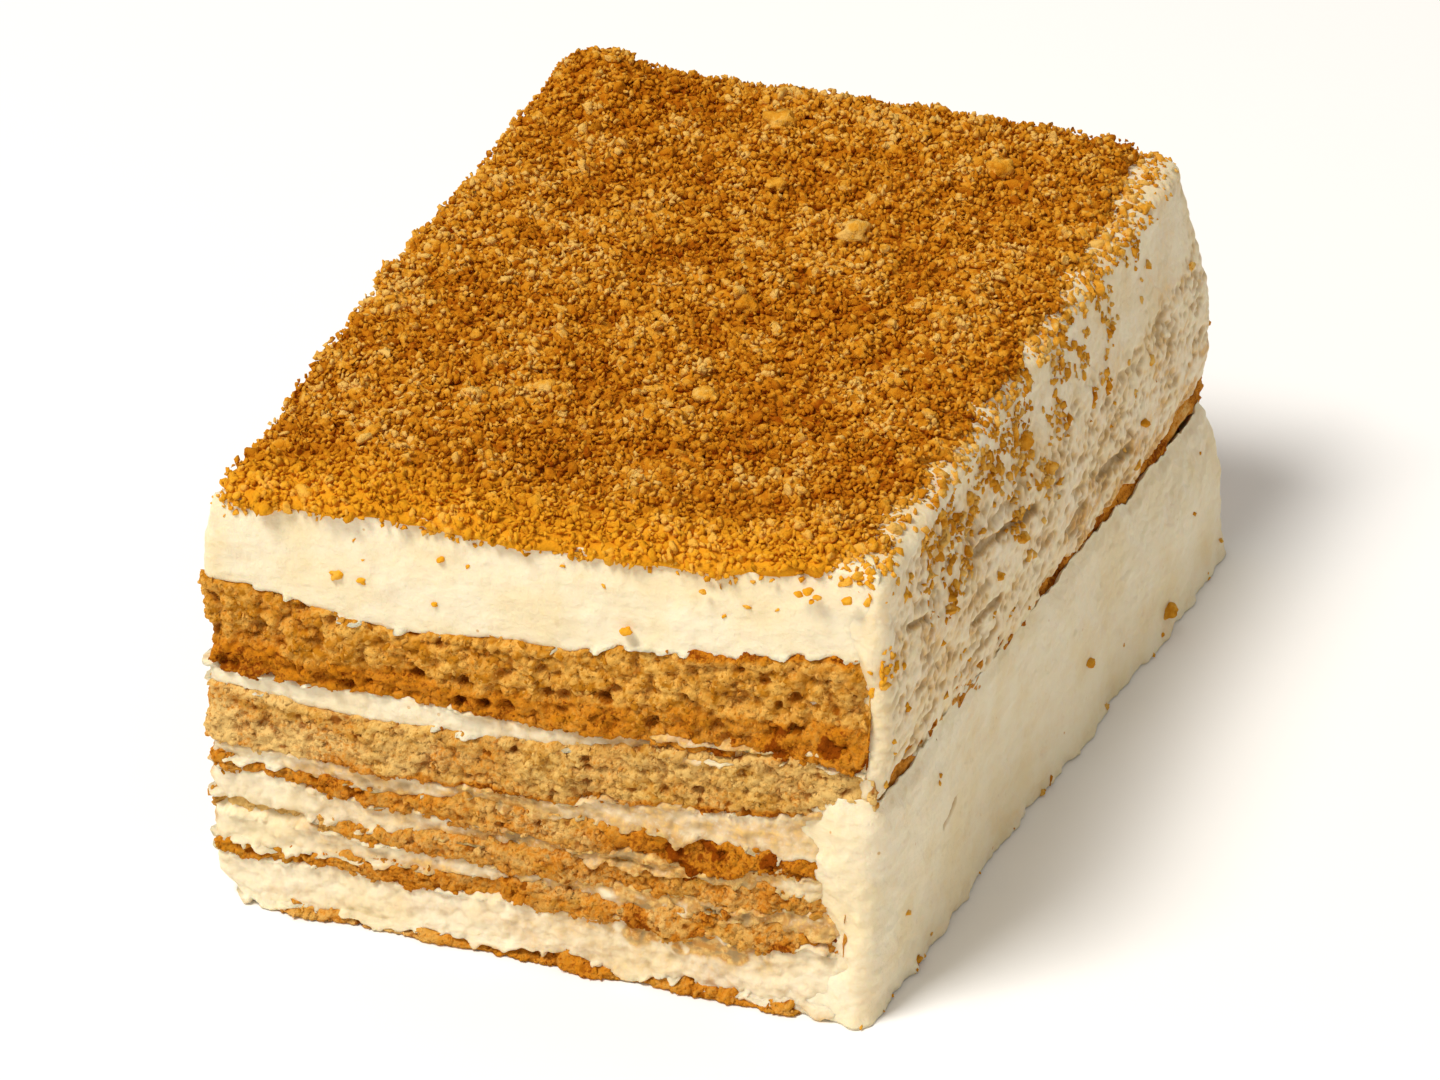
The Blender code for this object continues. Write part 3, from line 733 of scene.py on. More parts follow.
def layer_net(name, material):
    """The closed fine mesh of one layer."""
    index = NAMES.index(name)
    is_cream = "cream" in name
    u, v, nx, ny = SOFT if name == "cream_1" else FINE
    step = 0.3 if name == "cream_1" else 0.23
    mean = nominal(index + 1) - nominal(index)
    past = 0.4 + 1.1 * max(REACH[name]) if is_cream else 0.7 + 0.8 * SPREAD.get(name, 0.0)
    past_low, past_high = (0.0 if index == 0 else past), (-0.35 if name == "cream_1" else past)
    rows = max(6, int((mean + past_low + past_high) / step))
    face = smooth_step(0.4, 0.9, -ny)
    store = {key: [] for key in ("at", "outward", "free", "stain", "toast", "crumbs")}
    rims = []

    def keep(**values):
        for key, value in values.items():
            store[key].append(value)

    for row in range(rows + 1):
        part = row / rows
        x, y = place(u, v, nominal(index) + part * mean)
        for _ in range(2):
            low = boundary(index, x, y) + ripple(index, x, y)
            high = boundary(index + 1, x, y) + ripple(index + 1, x, y)
            z = (low - past_low) * (1 - part) + (high + past_high) * part
            x, y = place(u, v, z)
        share = (z - low) / np.maximum(high - low, 0.3)
        inside = np.minimum(z - low if index else 9.0, high - z if name != "cream_1" else 9.0)
        out, film = stand_out(name, v, nx, x, y, z, inside, share, face)
        limit = place(1.0, v, z)[0] - room_for_coat(name, share) - lean(v, z)
        on_side = smooth_step(0.1, 0.9, nx)
        at_front = smooth_step(0.6, 0.1, nx) * (v < 0.5)
        if name == "sponge_2":
            limit = limit + (0.35 * grain(x, y, z, 1.3, 3) - 0.3 * seam_holes(y)) * on_side
        saw = grain(x * 0, y * 0, z, 2.0, 140) + 0.4 * grain(x * 0, y * 0, z, 0.6, 141)
        if index <= LIP:
            shift = 1.5 * smooth_step(9.0, 4.0, z)
            shift = shift - 2.2 * smooth_step(10.0, 17.0, z) * smooth_step(26.0, 22.0, z)
            limit = limit + at_front * (1.6 * saw + 0.3 + shift)
            out = out - 1.1 * at_front * smooth_step(limit - 3.5, limit, x)
        elif name == "sponge_1":
            limit = limit + at_front * (0.35 * saw + 0.3)
            out = out - 0.8 * at_front * smooth_step(limit - 2.0, limit, x)
        px = np.minimum(x + out * nx, limit)
        px, py = px + foot_corner(px, z), y + out * ny
        if row in (0, rows):
            rims.append((px, py))
        streak = grain(x, y, z * 3.0, 5.0, 101 + index) + 0.6 * grain(x, y, z * 2.0, 1.6, 102)
        stain = along(STAIN, name, x, face) * np.clip(1.0 + 0.9 * streak, 0, 2) + 0.35 * film
        if name in ("cream_4", "cream_5", "cream_6"):
            drip = grain(x, 0 * x, z * 0.3, 2.2, 150) + 0.6 * grain(x, y, z, 0.9, 151)
            drip = 1.7 * smooth_step(-0.15, 0.3, drip) * smooth_step(6.0, 9.0, x) * smooth_step(25.0, 21.0, x)
            stain = stain + drip * face * (smooth_step(0.5, 0.8, share) if name == "cream_6" else 0.6)
        below = high - z
        fringe = smooth_step(2.6, 0.3, below + 0.9 * grain(x, y, 0, 4.0, 55))
        fringe = 0.8 * fringe**2 + 0.01 * (below < 9)
        if name == "sponge_2":
            stain = stain + 1.1 * on_side * (1 - np.clip(seam_gap(y) * 1.4 - 0.3, 0, 1))
        if not is_cream:
            fringe = np.clip(0.4 + 0.6 * face + 0.6 * grain(x, y, z, 3.0, 56), 0, 1) * (out > -0.3)
        keep(
            at=np.stack([px, py, z], -1),
            outward=np.stack([nx, ny, 0 * nx], -1),
            free=np.where(px >= limit, 0.9 if name == "sponge_2" else 0.3, 1.0),
            stain=stain,
            toast=toasting(name, x, y, z, share, face, smooth_step(0.3, 0.9, nx)),
            crumbs=fringe * (nx < 0.3),
        )
    count = len(u)
    net = np.arange((rows + 1) * count).reshape(rows + 1, count)
    a, b = net[:-1], np.roll(net[:-1], -1, axis=1)
    c, d = np.roll(net[1:], -1, axis=1), net[1:]
    faces = np.stack([a, b, c, d], -1).reshape(-1, 4).tolist()
    total = (rows + 1) * count
    for edge_row, level, under, (rim_x, rim_y) in (
        (net[0], index, True, rims[0]),
        (net[-1], index + 1, False, rims[1]),
    ):
        ring = edge_row.tolist()
        middle_x, middle_y = rim_x.mean(), rim_y.mean()
        for inset, skip in ((0.98, 1), (0.8, 16), (0.42, 16), (0.0, count)):
            x = middle_x + (rim_x[::skip] - middle_x) * inset
            y = middle_y + (rim_y[::skip] - middle_y) * inset
            z = boundary(level, x, y) + (0.16 if under and level else 0.0)
            z = z - (0.0 if under else (0.35 if name == "cream_1" else 0.16))
            made = [total + k for k in range(len(x))]
            total += len(x)
            none = 0.0 * x
            keep(
                at=np.stack([x, y, z], -1),
                outward=np.stack([none, none, none + (-1 if under else 1)], -1),
                free=none,
                stain=none,
                toast=none,
                crumbs=none,
            )
            for triangle in stitch(ring, made):
                faces.append(triangle[::-1] if under else triangle)
            ring = made
    numbers = {key: np.concatenate(values) for key, values in store.items()}
    return make_piece(name + "_cut", numbers.pop("at"), faces, material, **numbers)


print("layer nets ready")

# %% [markdown]
# The torn crumb of the sponge repeats over every cut face, so Geometry Nodes make it: scattered cells of
# two sizes raise small lumps with creases between them, and here and there a cell sinks into an open
# pore. The points move along the way they face, and the depth in pores and creases is kept for the
# materials, which paint shade there. A bump alone would leave the outline smooth.

# %% Lumps and pores by Geometry Nodes


def new_tree(name, inputs):
    """A Geometry Nodes tree with named inputs. Gives its graph and the input values by name."""
    tree = bpy.data.node_groups.new(name, "GeometryNodeTree")
    tree.interface.new_socket("Geometry", in_out="INPUT", socket_type="NodeSocketGeometry")
    for label, kind in inputs:
        tree.interface.new_socket(label, in_out="INPUT", socket_type="NodeSocket" + kind)
    tree.interface.new_socket("Geometry", in_out="OUTPUT", socket_type="NodeSocketGeometry")
    graph = Graph(tree)
    source = tree.nodes.new("NodeGroupInput")
    given = {socket.name: Value(graph, socket) for socket in source.outputs if socket.name}
    return graph, given


def end_tree(graph, geometry):
    target = graph.tree.nodes.new("NodeGroupOutput")
    graph.tree.links.new(geometry.socket, target.inputs[0])


def grown(source, graph, name, **settings):
    """Applies a tree to the source and gives the result as a plain object."""
    modifier = source.modifiers.new("nodes", "NODES")
    modifier.node_group = graph.tree
    for item in graph.tree.interface.items_tree:
        if item.in_out == "INPUT" and item.name in settings:
            modifier[item.identifier] = settings[item.name]
    bpy.context.view_layer.update()
    mesh = bpy.data.meshes.new_from_object(source.evaluated_get(bpy.context.evaluated_depsgraph_get()))
    source.modifiers.clear()
    mesh.name = name
    made = bpy.data.objects.new(name, mesh)
    scene.collection.objects.link(made)
    return made


def pore_tree():
    sizes = (("Lump Size", "Float"), ("Lump Height", "Float"), ("Pore Depth", "Float"))
    graph, given = new_tree("Torn sponge", (*sizes, ("Material", "Material")))
    metres = graph.add("GeometryNodeInputPosition")
    point = graph.stretch(metres, (1000.0, 1000.0, 1200.0))
    free = graph.add("GeometryNodeInputNamedAttribute", {"data_type": "FLOAT"}, {0: "free"})
    outward = graph.add("GeometryNodeInputNamedAttribute", {"data_type": "FLOAT_VECTOR"}, {0: "outward"})
    scale = 1.0 / given["Lump Size"]

    def cells(times):
        sockets = {"Vector": point, "Scale": scale * times, "Randomness": 1.0}
        return graph.add("ShaderNodeTexVoronoi", {}, sockets)

    def pick(cell):
        """A random number for each cell."""
        parts = graph.add("ShaderNodeSeparateXYZ", {}, {0: Value(graph, cell.socket.node.outputs[1])})
        return Value(graph, parts.socket.node.outputs[0])

    large, small, hole = cells(1.0), cells(2.2), cells(0.55)
    crease = large * large * 0.8 + small * small * 0.45
    gate = graph.noise(point, 5.0, 1.0).between(0.42, 0.6)
    pore = hole.between(0.4, 0.16) * (0.2 + gate * 0.8)
    lift = (given["Lump Height"] * (0.35 - crease) - pore * given["Pore Depth"]) * free * MM
    offset = graph.add("ShaderNodeVectorMath", {"operation": "SCALE"}, {0: outward, 3: lift})
    moved = graph.add("GeometryNodeSetPosition", {}, {0: given["Geometry"], 3: offset})
    # How deep a point lies in a pore or crease. Stored as pit, it darkens the colour as painted shade.
    depth = (pore + crease.between(0.25, 0.75) * 0.6) * free
    tone = pick(large) * 0.4 + pick(small) * 0.6
    store = {"data_type": "FLOAT"}
    toned = graph.add("GeometryNodeStoreNamedAttribute", store, {0: moved, 2: "tone", 3: tone})
    kept = graph.add("GeometryNodeStoreNamedAttribute", store, {0: toned, 2: "pit", 3: depth})
    end_tree(graph, graph.add("GeometryNodeSetMaterial", {}, {0: kept, 2: given["Material"]}))
    return graph


PORES = pore_tree()
print("pore tree has", len(PORES.tree.nodes), "nodes")

# %% [markdown]
# Now the twelve layers are made, from the foot up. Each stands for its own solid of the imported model, and
# takes its finish and its lumps: coarse ones with open pores in the thick sponges, finer ones in the thin
# sheets, almost none in cream.

# %% Make the layers
LOOK = {
    "base_sponge": (thin, 0.9, 0.6, 0.3),
    "sponge_5": (thin, 0.9, 0.8, 0.3),
    "sponge_4": (thin, 0.9, 0.8, 0.3),
    "sponge_3": (thin, 1.1, 0.9, 0.6),
    "sponge_2": (pale, 1.2, 0.9, 0.9),
    "sponge_1": (honey, 1.6, 1.3, 1.4),
    "cream_1": (cream, 1.8, 0.16, 0.0),
}


def slot_of(name):
    if "cream" in name:
        return "cream"
    return "sponge_pale" if name == "sponge_2" else "sponge"


def dress(piece, node, slot):
    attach(piece, "root")
    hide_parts(node)
    print(piece.name, sum(len(p.vertices) - 2 for p in piece.data.polygons), "triangles")
    return piece


made_layers = {}
for name in NAMES:
    material, lump, rise, depth = LOOK.get(name, (cream, 1.4, 0.3, 0.0))
    draft = layer_net(name, material)
    settings = {"Lump Size": lump, "Lump Height": rise, "Pore Depth": depth, "Material": material}
    made_layers[name] = dress(grown(draft, PORES, name + "_torn", **settings), name, slot_of(name))
    bpy.data.objects.remove(draft)

# %% [markdown]
# The coated long side is two bands of cream with a dark seam of sponge between them. The upper band is
# thin and scraped, and rounds over the top edge to end under the crumbs. The lower one is thick and
# smooth and bulges near the back. Each is a closed shell that follows the side and wraps a little way
# round both corners, with a ragged end where the knife left the cut face.

# %% The cream coat
# How far each band bulges along the side, and how far down the crumbs have spilled over the upper one.
UPPER_PROUD = ((0.0, 0.3, 1.0), (0.0, 0.0, 0.9))
LOWER_PROUD = ((0.0, 0.12, 0.36, 0.52, 0.66, 0.82, 1.0), (0.0, 0.4, -0.2, 1.1, 0.9, 2.2, 1.5))
SPILL = ((0.0, 0.1, 0.35, 0.5, 0.65, 0.75, 1.0), (8.0, 12.0, 15.0, 14.0, 15.0, 7.0, 4.0))
# Clusters of crumbs stuck to the side at (y, z), and marks in it from (y, z) to (y, z) with their width.
GOLDEN = (
    (-9.1, 47.5), (1.7, 41.9), (-9.8, 43.4), (-20.4, 47.5), (-4.6, 37.7), (-25.5, 44.2), (-13.2, 37.4),
    (-38.5, 47.0), (-29.0, 40.4), (-33.7, 39.1), (-52.0, 40.5), (-17.0, 44.5), (4.5, 46.5), (-33.0, 46.0),
)
SCRAPES = (
    (-29.0, 40.5, -8.0, 36.0, 0.6), (-28.0, 32.5, -19.0, 31.0, 0.45), (13.0, 29.0, 23.0, 27.6, 0.7),
    (-36.4, 13.3, -32.4, 14.5, 0.45), (-47.0, 42.5, -41.0, 40.5, 0.4), (41.0, 21.5, 44.0, 22.5, 1.0),
)
TOP = len(NAMES)
# The upper band starts to round over this far below the top, and runs in under the crumbs by the second.
SHOULDER, TUCK = 2.2, 2.2
SIDE_LENGTH = RUN[0][17] - RUN[0][0]


def lip_height(share):
    def height(x, y):
        low, high = boundary(LIP, x, y), boundary(LIP + 1, x, y)
        return low + (high - low) * share

    return height


def golden(y, z):
    """Nearly 1 where clusters of golden crumbs stick to the upper band."""
    return sum(np.exp(-((y - at) ** 2 + (z - height) ** 2) / 3.4) for at, height in GOLDEN)


def scrape(y, z):
    """1 in the few long marks that something hard has left in the cream, 0 elsewhere."""
    deepest = 0 * y
    for y0, z0, y1, z1, wide in SCRAPES:
        length = math.hypot(y1 - y0, z1 - z0)
        way_y, way_z = (y1 - y0) / length, (z1 - z0) / length
        gone = np.clip((y - y0) * way_y + (z - z0) * way_z, 0, length)
        away = np.hypot(y - y0 - gone * way_y, z - z0 - gone * way_z)
        away = away + 0.35 * grain(0 * y, y, z, 1.3, 89)
        deepest = np.maximum(deepest, smooth_step(wide * 1.3, wide * 0.4, away))
    return deepest


def coat(name, low, high, proud, wrap, scraped, shoulder):
    """A shell of cream between two heights. shoulder says whether it rounds over the top edge."""
    before = np.linspace(-wrap - 4.0, 3.0, 56)[:-1]
    behind = np.linspace(SIDE_LENGTH - 3.0, SIDE_LENGTH + 10.0, 60)[1:]
    run = np.concatenate([before, np.linspace(3.0, SIDE_LENGTH - 3.0, 460), behind])
    u, v, nx, ny = at_run(run)
    side = smooth_step(-0.2, 0.9, nx)
    slide = smooth_step(-6.0, 0.5, run) * smooth_step(SIDE_LENGTH + 6.0, SIDE_LENGTH - 0.5, run)
    x0, y0 = place(u, v, HEIGHT / 2)
    bottom, top = low(x0, y0), high(x0, y0)
    edge = 0.7 * grain(x0, y0, 0, 5.0, 7) + 0.4 * grain(x0, y0, 0, 1.6, 8)
    edge = edge + 0.25 * grain(x0, y0, 0, 0.8, 9 + shoulder) + (0.8 if shoulder else -0.8) * seam_gap(y0)
    rows = int(np.mean(top - bottom) / 0.22)
    store = {key: [] for key in ("at", "stain", "pit", "crumbs")}

    def keep(x, y, z, stain=0.0, pit=0.0, crumbs=0.0):
        store["at"].append(np.stack([x, y, z], -1))
        for key, value in (("stain", stain), ("pit", pit), ("crumbs", crumbs)):
            store[key].append(np.full_like(x, 1.0) * value)

    def skin(x, y, z, part, fade):
        """How far out it lies, how stained, and how deep in a hollow or scrape, where shade is painted."""
        high_up = smooth_step(41.0, 45.0, z) if shoulder else 0.0 * z
        wander = 1.2 * grain(x, y, z, 2.8, 75) - 0.5 + (0.25 if shoulder else 0.8) * grain(x, y, z, 1.0, 76)
        low_down = smooth_step(6.5, 3.0, z)
        wraps = wrap + (3.4 * high_up if shoulder else 2.0 * smooth_step(10.0, 17.0, z) + 1.5 * low_down)
        front_end = smooth_step(0.0, (3.2 if shoulder else 4.5) + 2.6 * high_up, run + wraps + wander)
        left_over = SIDE_LENGTH + 3.2 + 3.0 * high_up - run + 1.8 * wander
        ragged = np.minimum(front_end, smooth_step(0.0, 2.4 + 2.6 * high_up, left_over))
        rough = 0.35 * grain(x, y * 0.4, z, 1.1, 71) + 0.6 * grain(x, y * 0.8, z, 0.55, 72)
        rough = rough + 0.3 * grain(x, y * 0.5, z, 2.6, 70)
        torn = grain(x, y * 0.35, z, 6.0, 73) + 1.2 * smooth_step(1.0, 0.4, part) - 0.3
        torn = smooth_step(-0.4, 0.7, torn) * scraped
        torn = torn * smooth_step(0.0, 6.0, run) * smooth_step(SIDE_LENGTH, SIDE_LENGTH - 4.0, run)
        swell = 0.25 - 0.55 * (smooth_step(0.16, 0.0, part) if shoulder else smooth_step(0.9, 1.0, part))
        rise = 1.0 if shoulder else 1 - smooth_step(0.5, 1.0, part)
        foot = (0.5 * grain(x, y, z, 3.6, 74) + 0.3 * grain(x, y, z, 1.1, 83)) * smooth_step(3.5, 0.0, z)
        bulge = np.interp(v, *proud) * smooth_step(SIDE_LENGTH + 2.0, SIDE_LENGTH - 2.8, run)
        out = bulge * rise + swell + 0.25 * crags(x, y, z, 31) + foot
        out = out + (0.12 + 0.17 * torn) * rough - 0.28 * torn * smooth_step(0.0, -0.5, rough)
        out = out + (1 - scraped) * (0.18 * grain(x, y, z, 3.0, 81) + 0.13 * grain(x, y * 0.6, z, 1.0, 86))
        sink = 1.1 - (0.0 if shoulder else 0.55 * low_down * (run < 20))
        out = out * fade - sink * (1 - ragged) + 0.15 - 0.6 * (1 - side) * np.clip((z - 40) / 10, 0, 1) ** 2
        streaks = grain(x, y * 0.35, z, 0.7, 87) + 0.6 * grain(x, y * 0.4, z, 2.2, 88)
        mark = scrape(y, z) * (run > 0.0) * side
        out = out - 0.5 * mark * fade
        # pit paints shade into the sunken hollows of torn cream and into the scrape marks.
        pit = 0.9 * torn * smooth_step(0.1, -0.6, rough) + 0.8 * mark
        stain = 0.13 + 0.12 * grain(x, y, z, 4.0, 84) + 0.12 * grain(x, y * 0.5, z, 1.2, 85)
        stain = stain + scraped * (0.1 + (0.08 + 0.3 * np.clip(0.3 - 1.5 * rough + streaks, 0, 1.5)) * torn)
        if shoulder:
            under = smooth_step(0.35, 0.05, part) * smooth_step(-10.0, 12.0, y)
            stain = stain + 0.8 * under * smooth_step(-0.2, 0.5, grain(x, y * 0.4, z, 1.2, 92))
            stain = stain + 0.3 * np.clip(golden(y, z), 0, 1)
        return out, stain + 0.7 * mark, np.clip(pit, 0, 1)

    for row in range(rows + 1):
        part = row / rows
        z = bottom + (top - bottom) * part + edge * ((1 - part) ** 4 if shoulder else part**4)
        x, y = place(u, v, z)
        out, stain, pit = skin(x, y, z, part, 1.0)
        below = boundary(TOP, x, y) - z
        down = (below + 6.0 * grain(x, y, z * 0.3, 5.0, 77)) / np.interp(v, *SPILL)
        spill = np.clip(1 - down, 0, 1) ** 1.2 + 0.03
        clusters = smooth_step(-0.15, 0.35, grain(x, y, z, 2.6, 78) + 0.4 * grain(x, y, z, 1.2, 82))
        crumbs = clusters * (0.015 + 0.5 * smooth_step(1.6, 0.3, z))
        if shoulder:
            crumbs = np.clip(spill * clusters + 1.2 * golden(y, z), 0, 1.2)
        moved = lean(v, z) * slide if shoulder else 0.0
        keep(x + out * nx - moved, y + out * ny, z, stain, pit, crumbs * (run > 0.0))
    if shoulder:
        x1, y1 = place(u, v, top)
        start = lean(v, top)
        wide = (np.interp(v, *MARGIN) + TUCK - start) * side + 1.2 * (1 - side)
        lift = boundary(TOP, x1, y1) + 0.15 - top
        for angle in np.linspace(0, 0.25 * math.tau, 15)[1:]:
            inset, rise = wide * (1 - math.cos(angle) ** 0.9), lift * math.sin(angle) ** 0.9
            x, y = x1 - start * slide - inset * nx, y1 - inset * ny
            z = top + rise
            out, stain, pit = skin(x, y, z, 1.0, max(math.cos(angle), 0.0) ** 0.5)
            near = smooth_step(4.2, 0.8, wide - 1.6 - inset + 2.2 * grain(x, y, 0, 2.6, 79))
            z = z + 0.12 * grain(x, y, 0, 2.0, 80)
            keep(x + out * nx, y + out * ny, z, stain, pit, 0.12 + 1.4 * near)
    inner = 1.3 + (3.2 * side if shoulder else 0.0)
    for z, depth in ((store["at"][-1][:, 2] - 1.5, inner), (np.maximum(bottom, 0.0) + 0.3, 1.3)):
        x, y = place(u, v, np.clip(z, 0, HEIGHT))
        keep(x - depth * nx, y - depth * ny, z)
    lines, count = len(store["at"]), len(run)
    net = np.arange(lines * count).reshape(lines, count)
    closed = np.concatenate([net, net[:1]])
    a, b, c, d = closed[:-1, :-1], closed[:-1, 1:], closed[1:, 1:], closed[1:, :-1]
    faces = np.stack([a, b, c, d], -1).reshape(-1, 4).tolist()
    faces += [net[::-1, 0].tolist(), net[:, -1].tolist()]
    numbers = {key: np.concatenate(values) for key, values in store.items()}
    return make_piece(name, numbers.pop("at"), faces, cream, **numbers)


def below_crumbs(x, y):
    return boundary(TOP, x, y) - SHOULDER


def ground(x, y):
    return 0 * x


upper = coat("coat_upper", lip_height(0.62), below_crumbs, UPPER_PROUD, 2.0, 1.0, True)
lower = coat("coat_lower", ground, lip_height(0.52), LOWER_PROUD, 4.2, 0.12, False)
dress(upper, "cream_1", "cream")
dress(lower, "cream_6", "cream")

# %% [markdown]
# Crumbs lie on the cream in an even bed about a millimetre thick, heaped at the back left corner. The bed
# is one uneven sheet, and loose crumbs of three sizes are strewn over it, so that no gap shows the cream
# below.

# %% The crumb bed


def bed_height(x, y):
    away = np.hypot(x + 31.0, y - 50.0) / 9.0
    heap = 2.6 * np.exp(-(away**2) * 2)
    return 1.0 + 0.9 * smooth_step(10.0, 50.0, y) + 0.5 * smooth_step(44.0, 53.0, y) + heap


def crumb_bed(across=170, along_side=250):
    steps = np.linspace(0, 1, along_side), np.linspace(0, 1, across)
    v, u = [g.ravel() for g in np.meshgrid(*steps, indexing="ij")]
    rim = (u == 0) | (u == 1) | (v == 0) | (v == 1)
    du, dv = (u - 0.5) * WIDE, (v - 0.5) * DEEP
    past_u, past_v = np.abs(du) - WIDE / 2 + CORNER_RADIUS, np.abs(dv) - DEEP / 2 + CORNER_RADIUS
    corner = (past_u > 0) & (past_v > 0)
    pull = np.where(corner, np.maximum(past_u, past_v) / np.maximum(np.hypot(past_u, past_v), 0.001), 1.0)
    du = np.where(corner, np.sign(du) * (WIDE / 2 - CORNER_RADIUS + past_u * pull), du)
    dv = np.where(corner, np.sign(dv) * (DEEP / 2 - CORNER_RADIUS + past_v * pull), dv)
    u, v = 0.5 + du / WIDE, 0.5 + dv / DEEP
    x, y = place(u, v, HEIGHT)
    near_left, near_right = np.clip(1 - u * 9, 0, 1), np.clip(1 - (1 - u) * 9, 0, 1)
    near_front, near_back = np.clip(1 - v * 14, 0, 1), np.clip(1 - (1 - v) * 14, 0, 1)
    lumps = 0.45 * crags(x * 2.2, y * 2.2, 0 * x, 41) + 0.4 * grain(x, y, 0, 1.8, 9)
    wavy = 1.0 * grain(x, y, 0, 5.5, 10) + 0.9 * grain(x, y, 0, 2.4, 17)
    bare = np.interp(v, (0.0, 0.2, 0.42, 0.6, 1.0), (2.4, 1.9, 0.8, 0.2, 0.2))
    back_off = 0.1 + 1.7 * smooth_step(24.0, 36.0, x)
    x = x + near_left * (bare + lumps) - near_right * (np.interp(v, *MARGIN) + 0.1 + lumps + wavy)
    y = y + near_front * (back_off + lumps + 0.4 * grain(x, y, 0, 3.0, 11)) - near_back * (0.7 + lumps)
    heap = bed_height(x, y) - 0.9 + 0.6 * grain(x, y, 0, 5.0, 14) + 1.0 * np.abs(grain(x, y, 0, 2.4, 15))
    heap = heap + 0.6 * grain(x, y, 0, 1.3, 16)
    relief = heap - bed_height(x, y) + 0.3
    edge = np.maximum.reduce([near_left, near_right, near_front, near_back])
    heap = heap * (1 - 0.6 * edge**3)
    z = boundary(TOP, x, y) + np.maximum(heap, 0.25) * np.where(rim, 0.3, 1.0)
    low_rim = np.maximum(near_front * smooth_step(30.0, 18.0, x), near_left * smooth_step(0.4, 0.6, v))
    z = z - 0.9 * low_rim**7
    points = np.stack([x, y, z], -1)
    net = np.arange(across * along_side).reshape(along_side, across)
    faces = np.stack([net[:-1, :-1], net[:-1, 1:], net[1:, 1:], net[1:, :-1]], -1).reshape(-1, 4).tolist()
    ring = np.concatenate([net[0, :-1], net[:-1, -1], net[-1, :0:-1], net[:0:-1, 0]]).tolist()
    rows, total = [points], len(points)
    rim_points = points[ring]
    middle = rim_points.mean(0)
    for inset, skip in ((0.995, 1), (0.85, 2), (0.4, 2), (0.0, len(ring))):
        row = middle + (rim_points[::skip] - middle) * inset
        row[:, 2] = boundary(TOP, row[:, 0], row[:, 1]) - 1.1
        made = [total + k for k in range(len(row))]
        total += len(row)
        rows.append(row)
        faces += [triangle[::-1] for triangle in stitch(ring, made)]
        ring = made
    points = np.concatenate(rows)
    strewn, rise = np.zeros(len(points)), np.zeros(len(points))
    strewn[: across * along_side] = 1.0
    # Painted shade and light: lower points of the bed get a darker tone and higher ones a paler one.
    rise[: across * along_side] = np.clip(relief * 0.6, -0.35, 0.35)
    return make_piece("crumb_bed", points, faces, toasted, tone=0.3 + rise, crumbs=strewn, rise=rise)


bed = dress(crumb_bed(), "crumb_topping", "crumb")
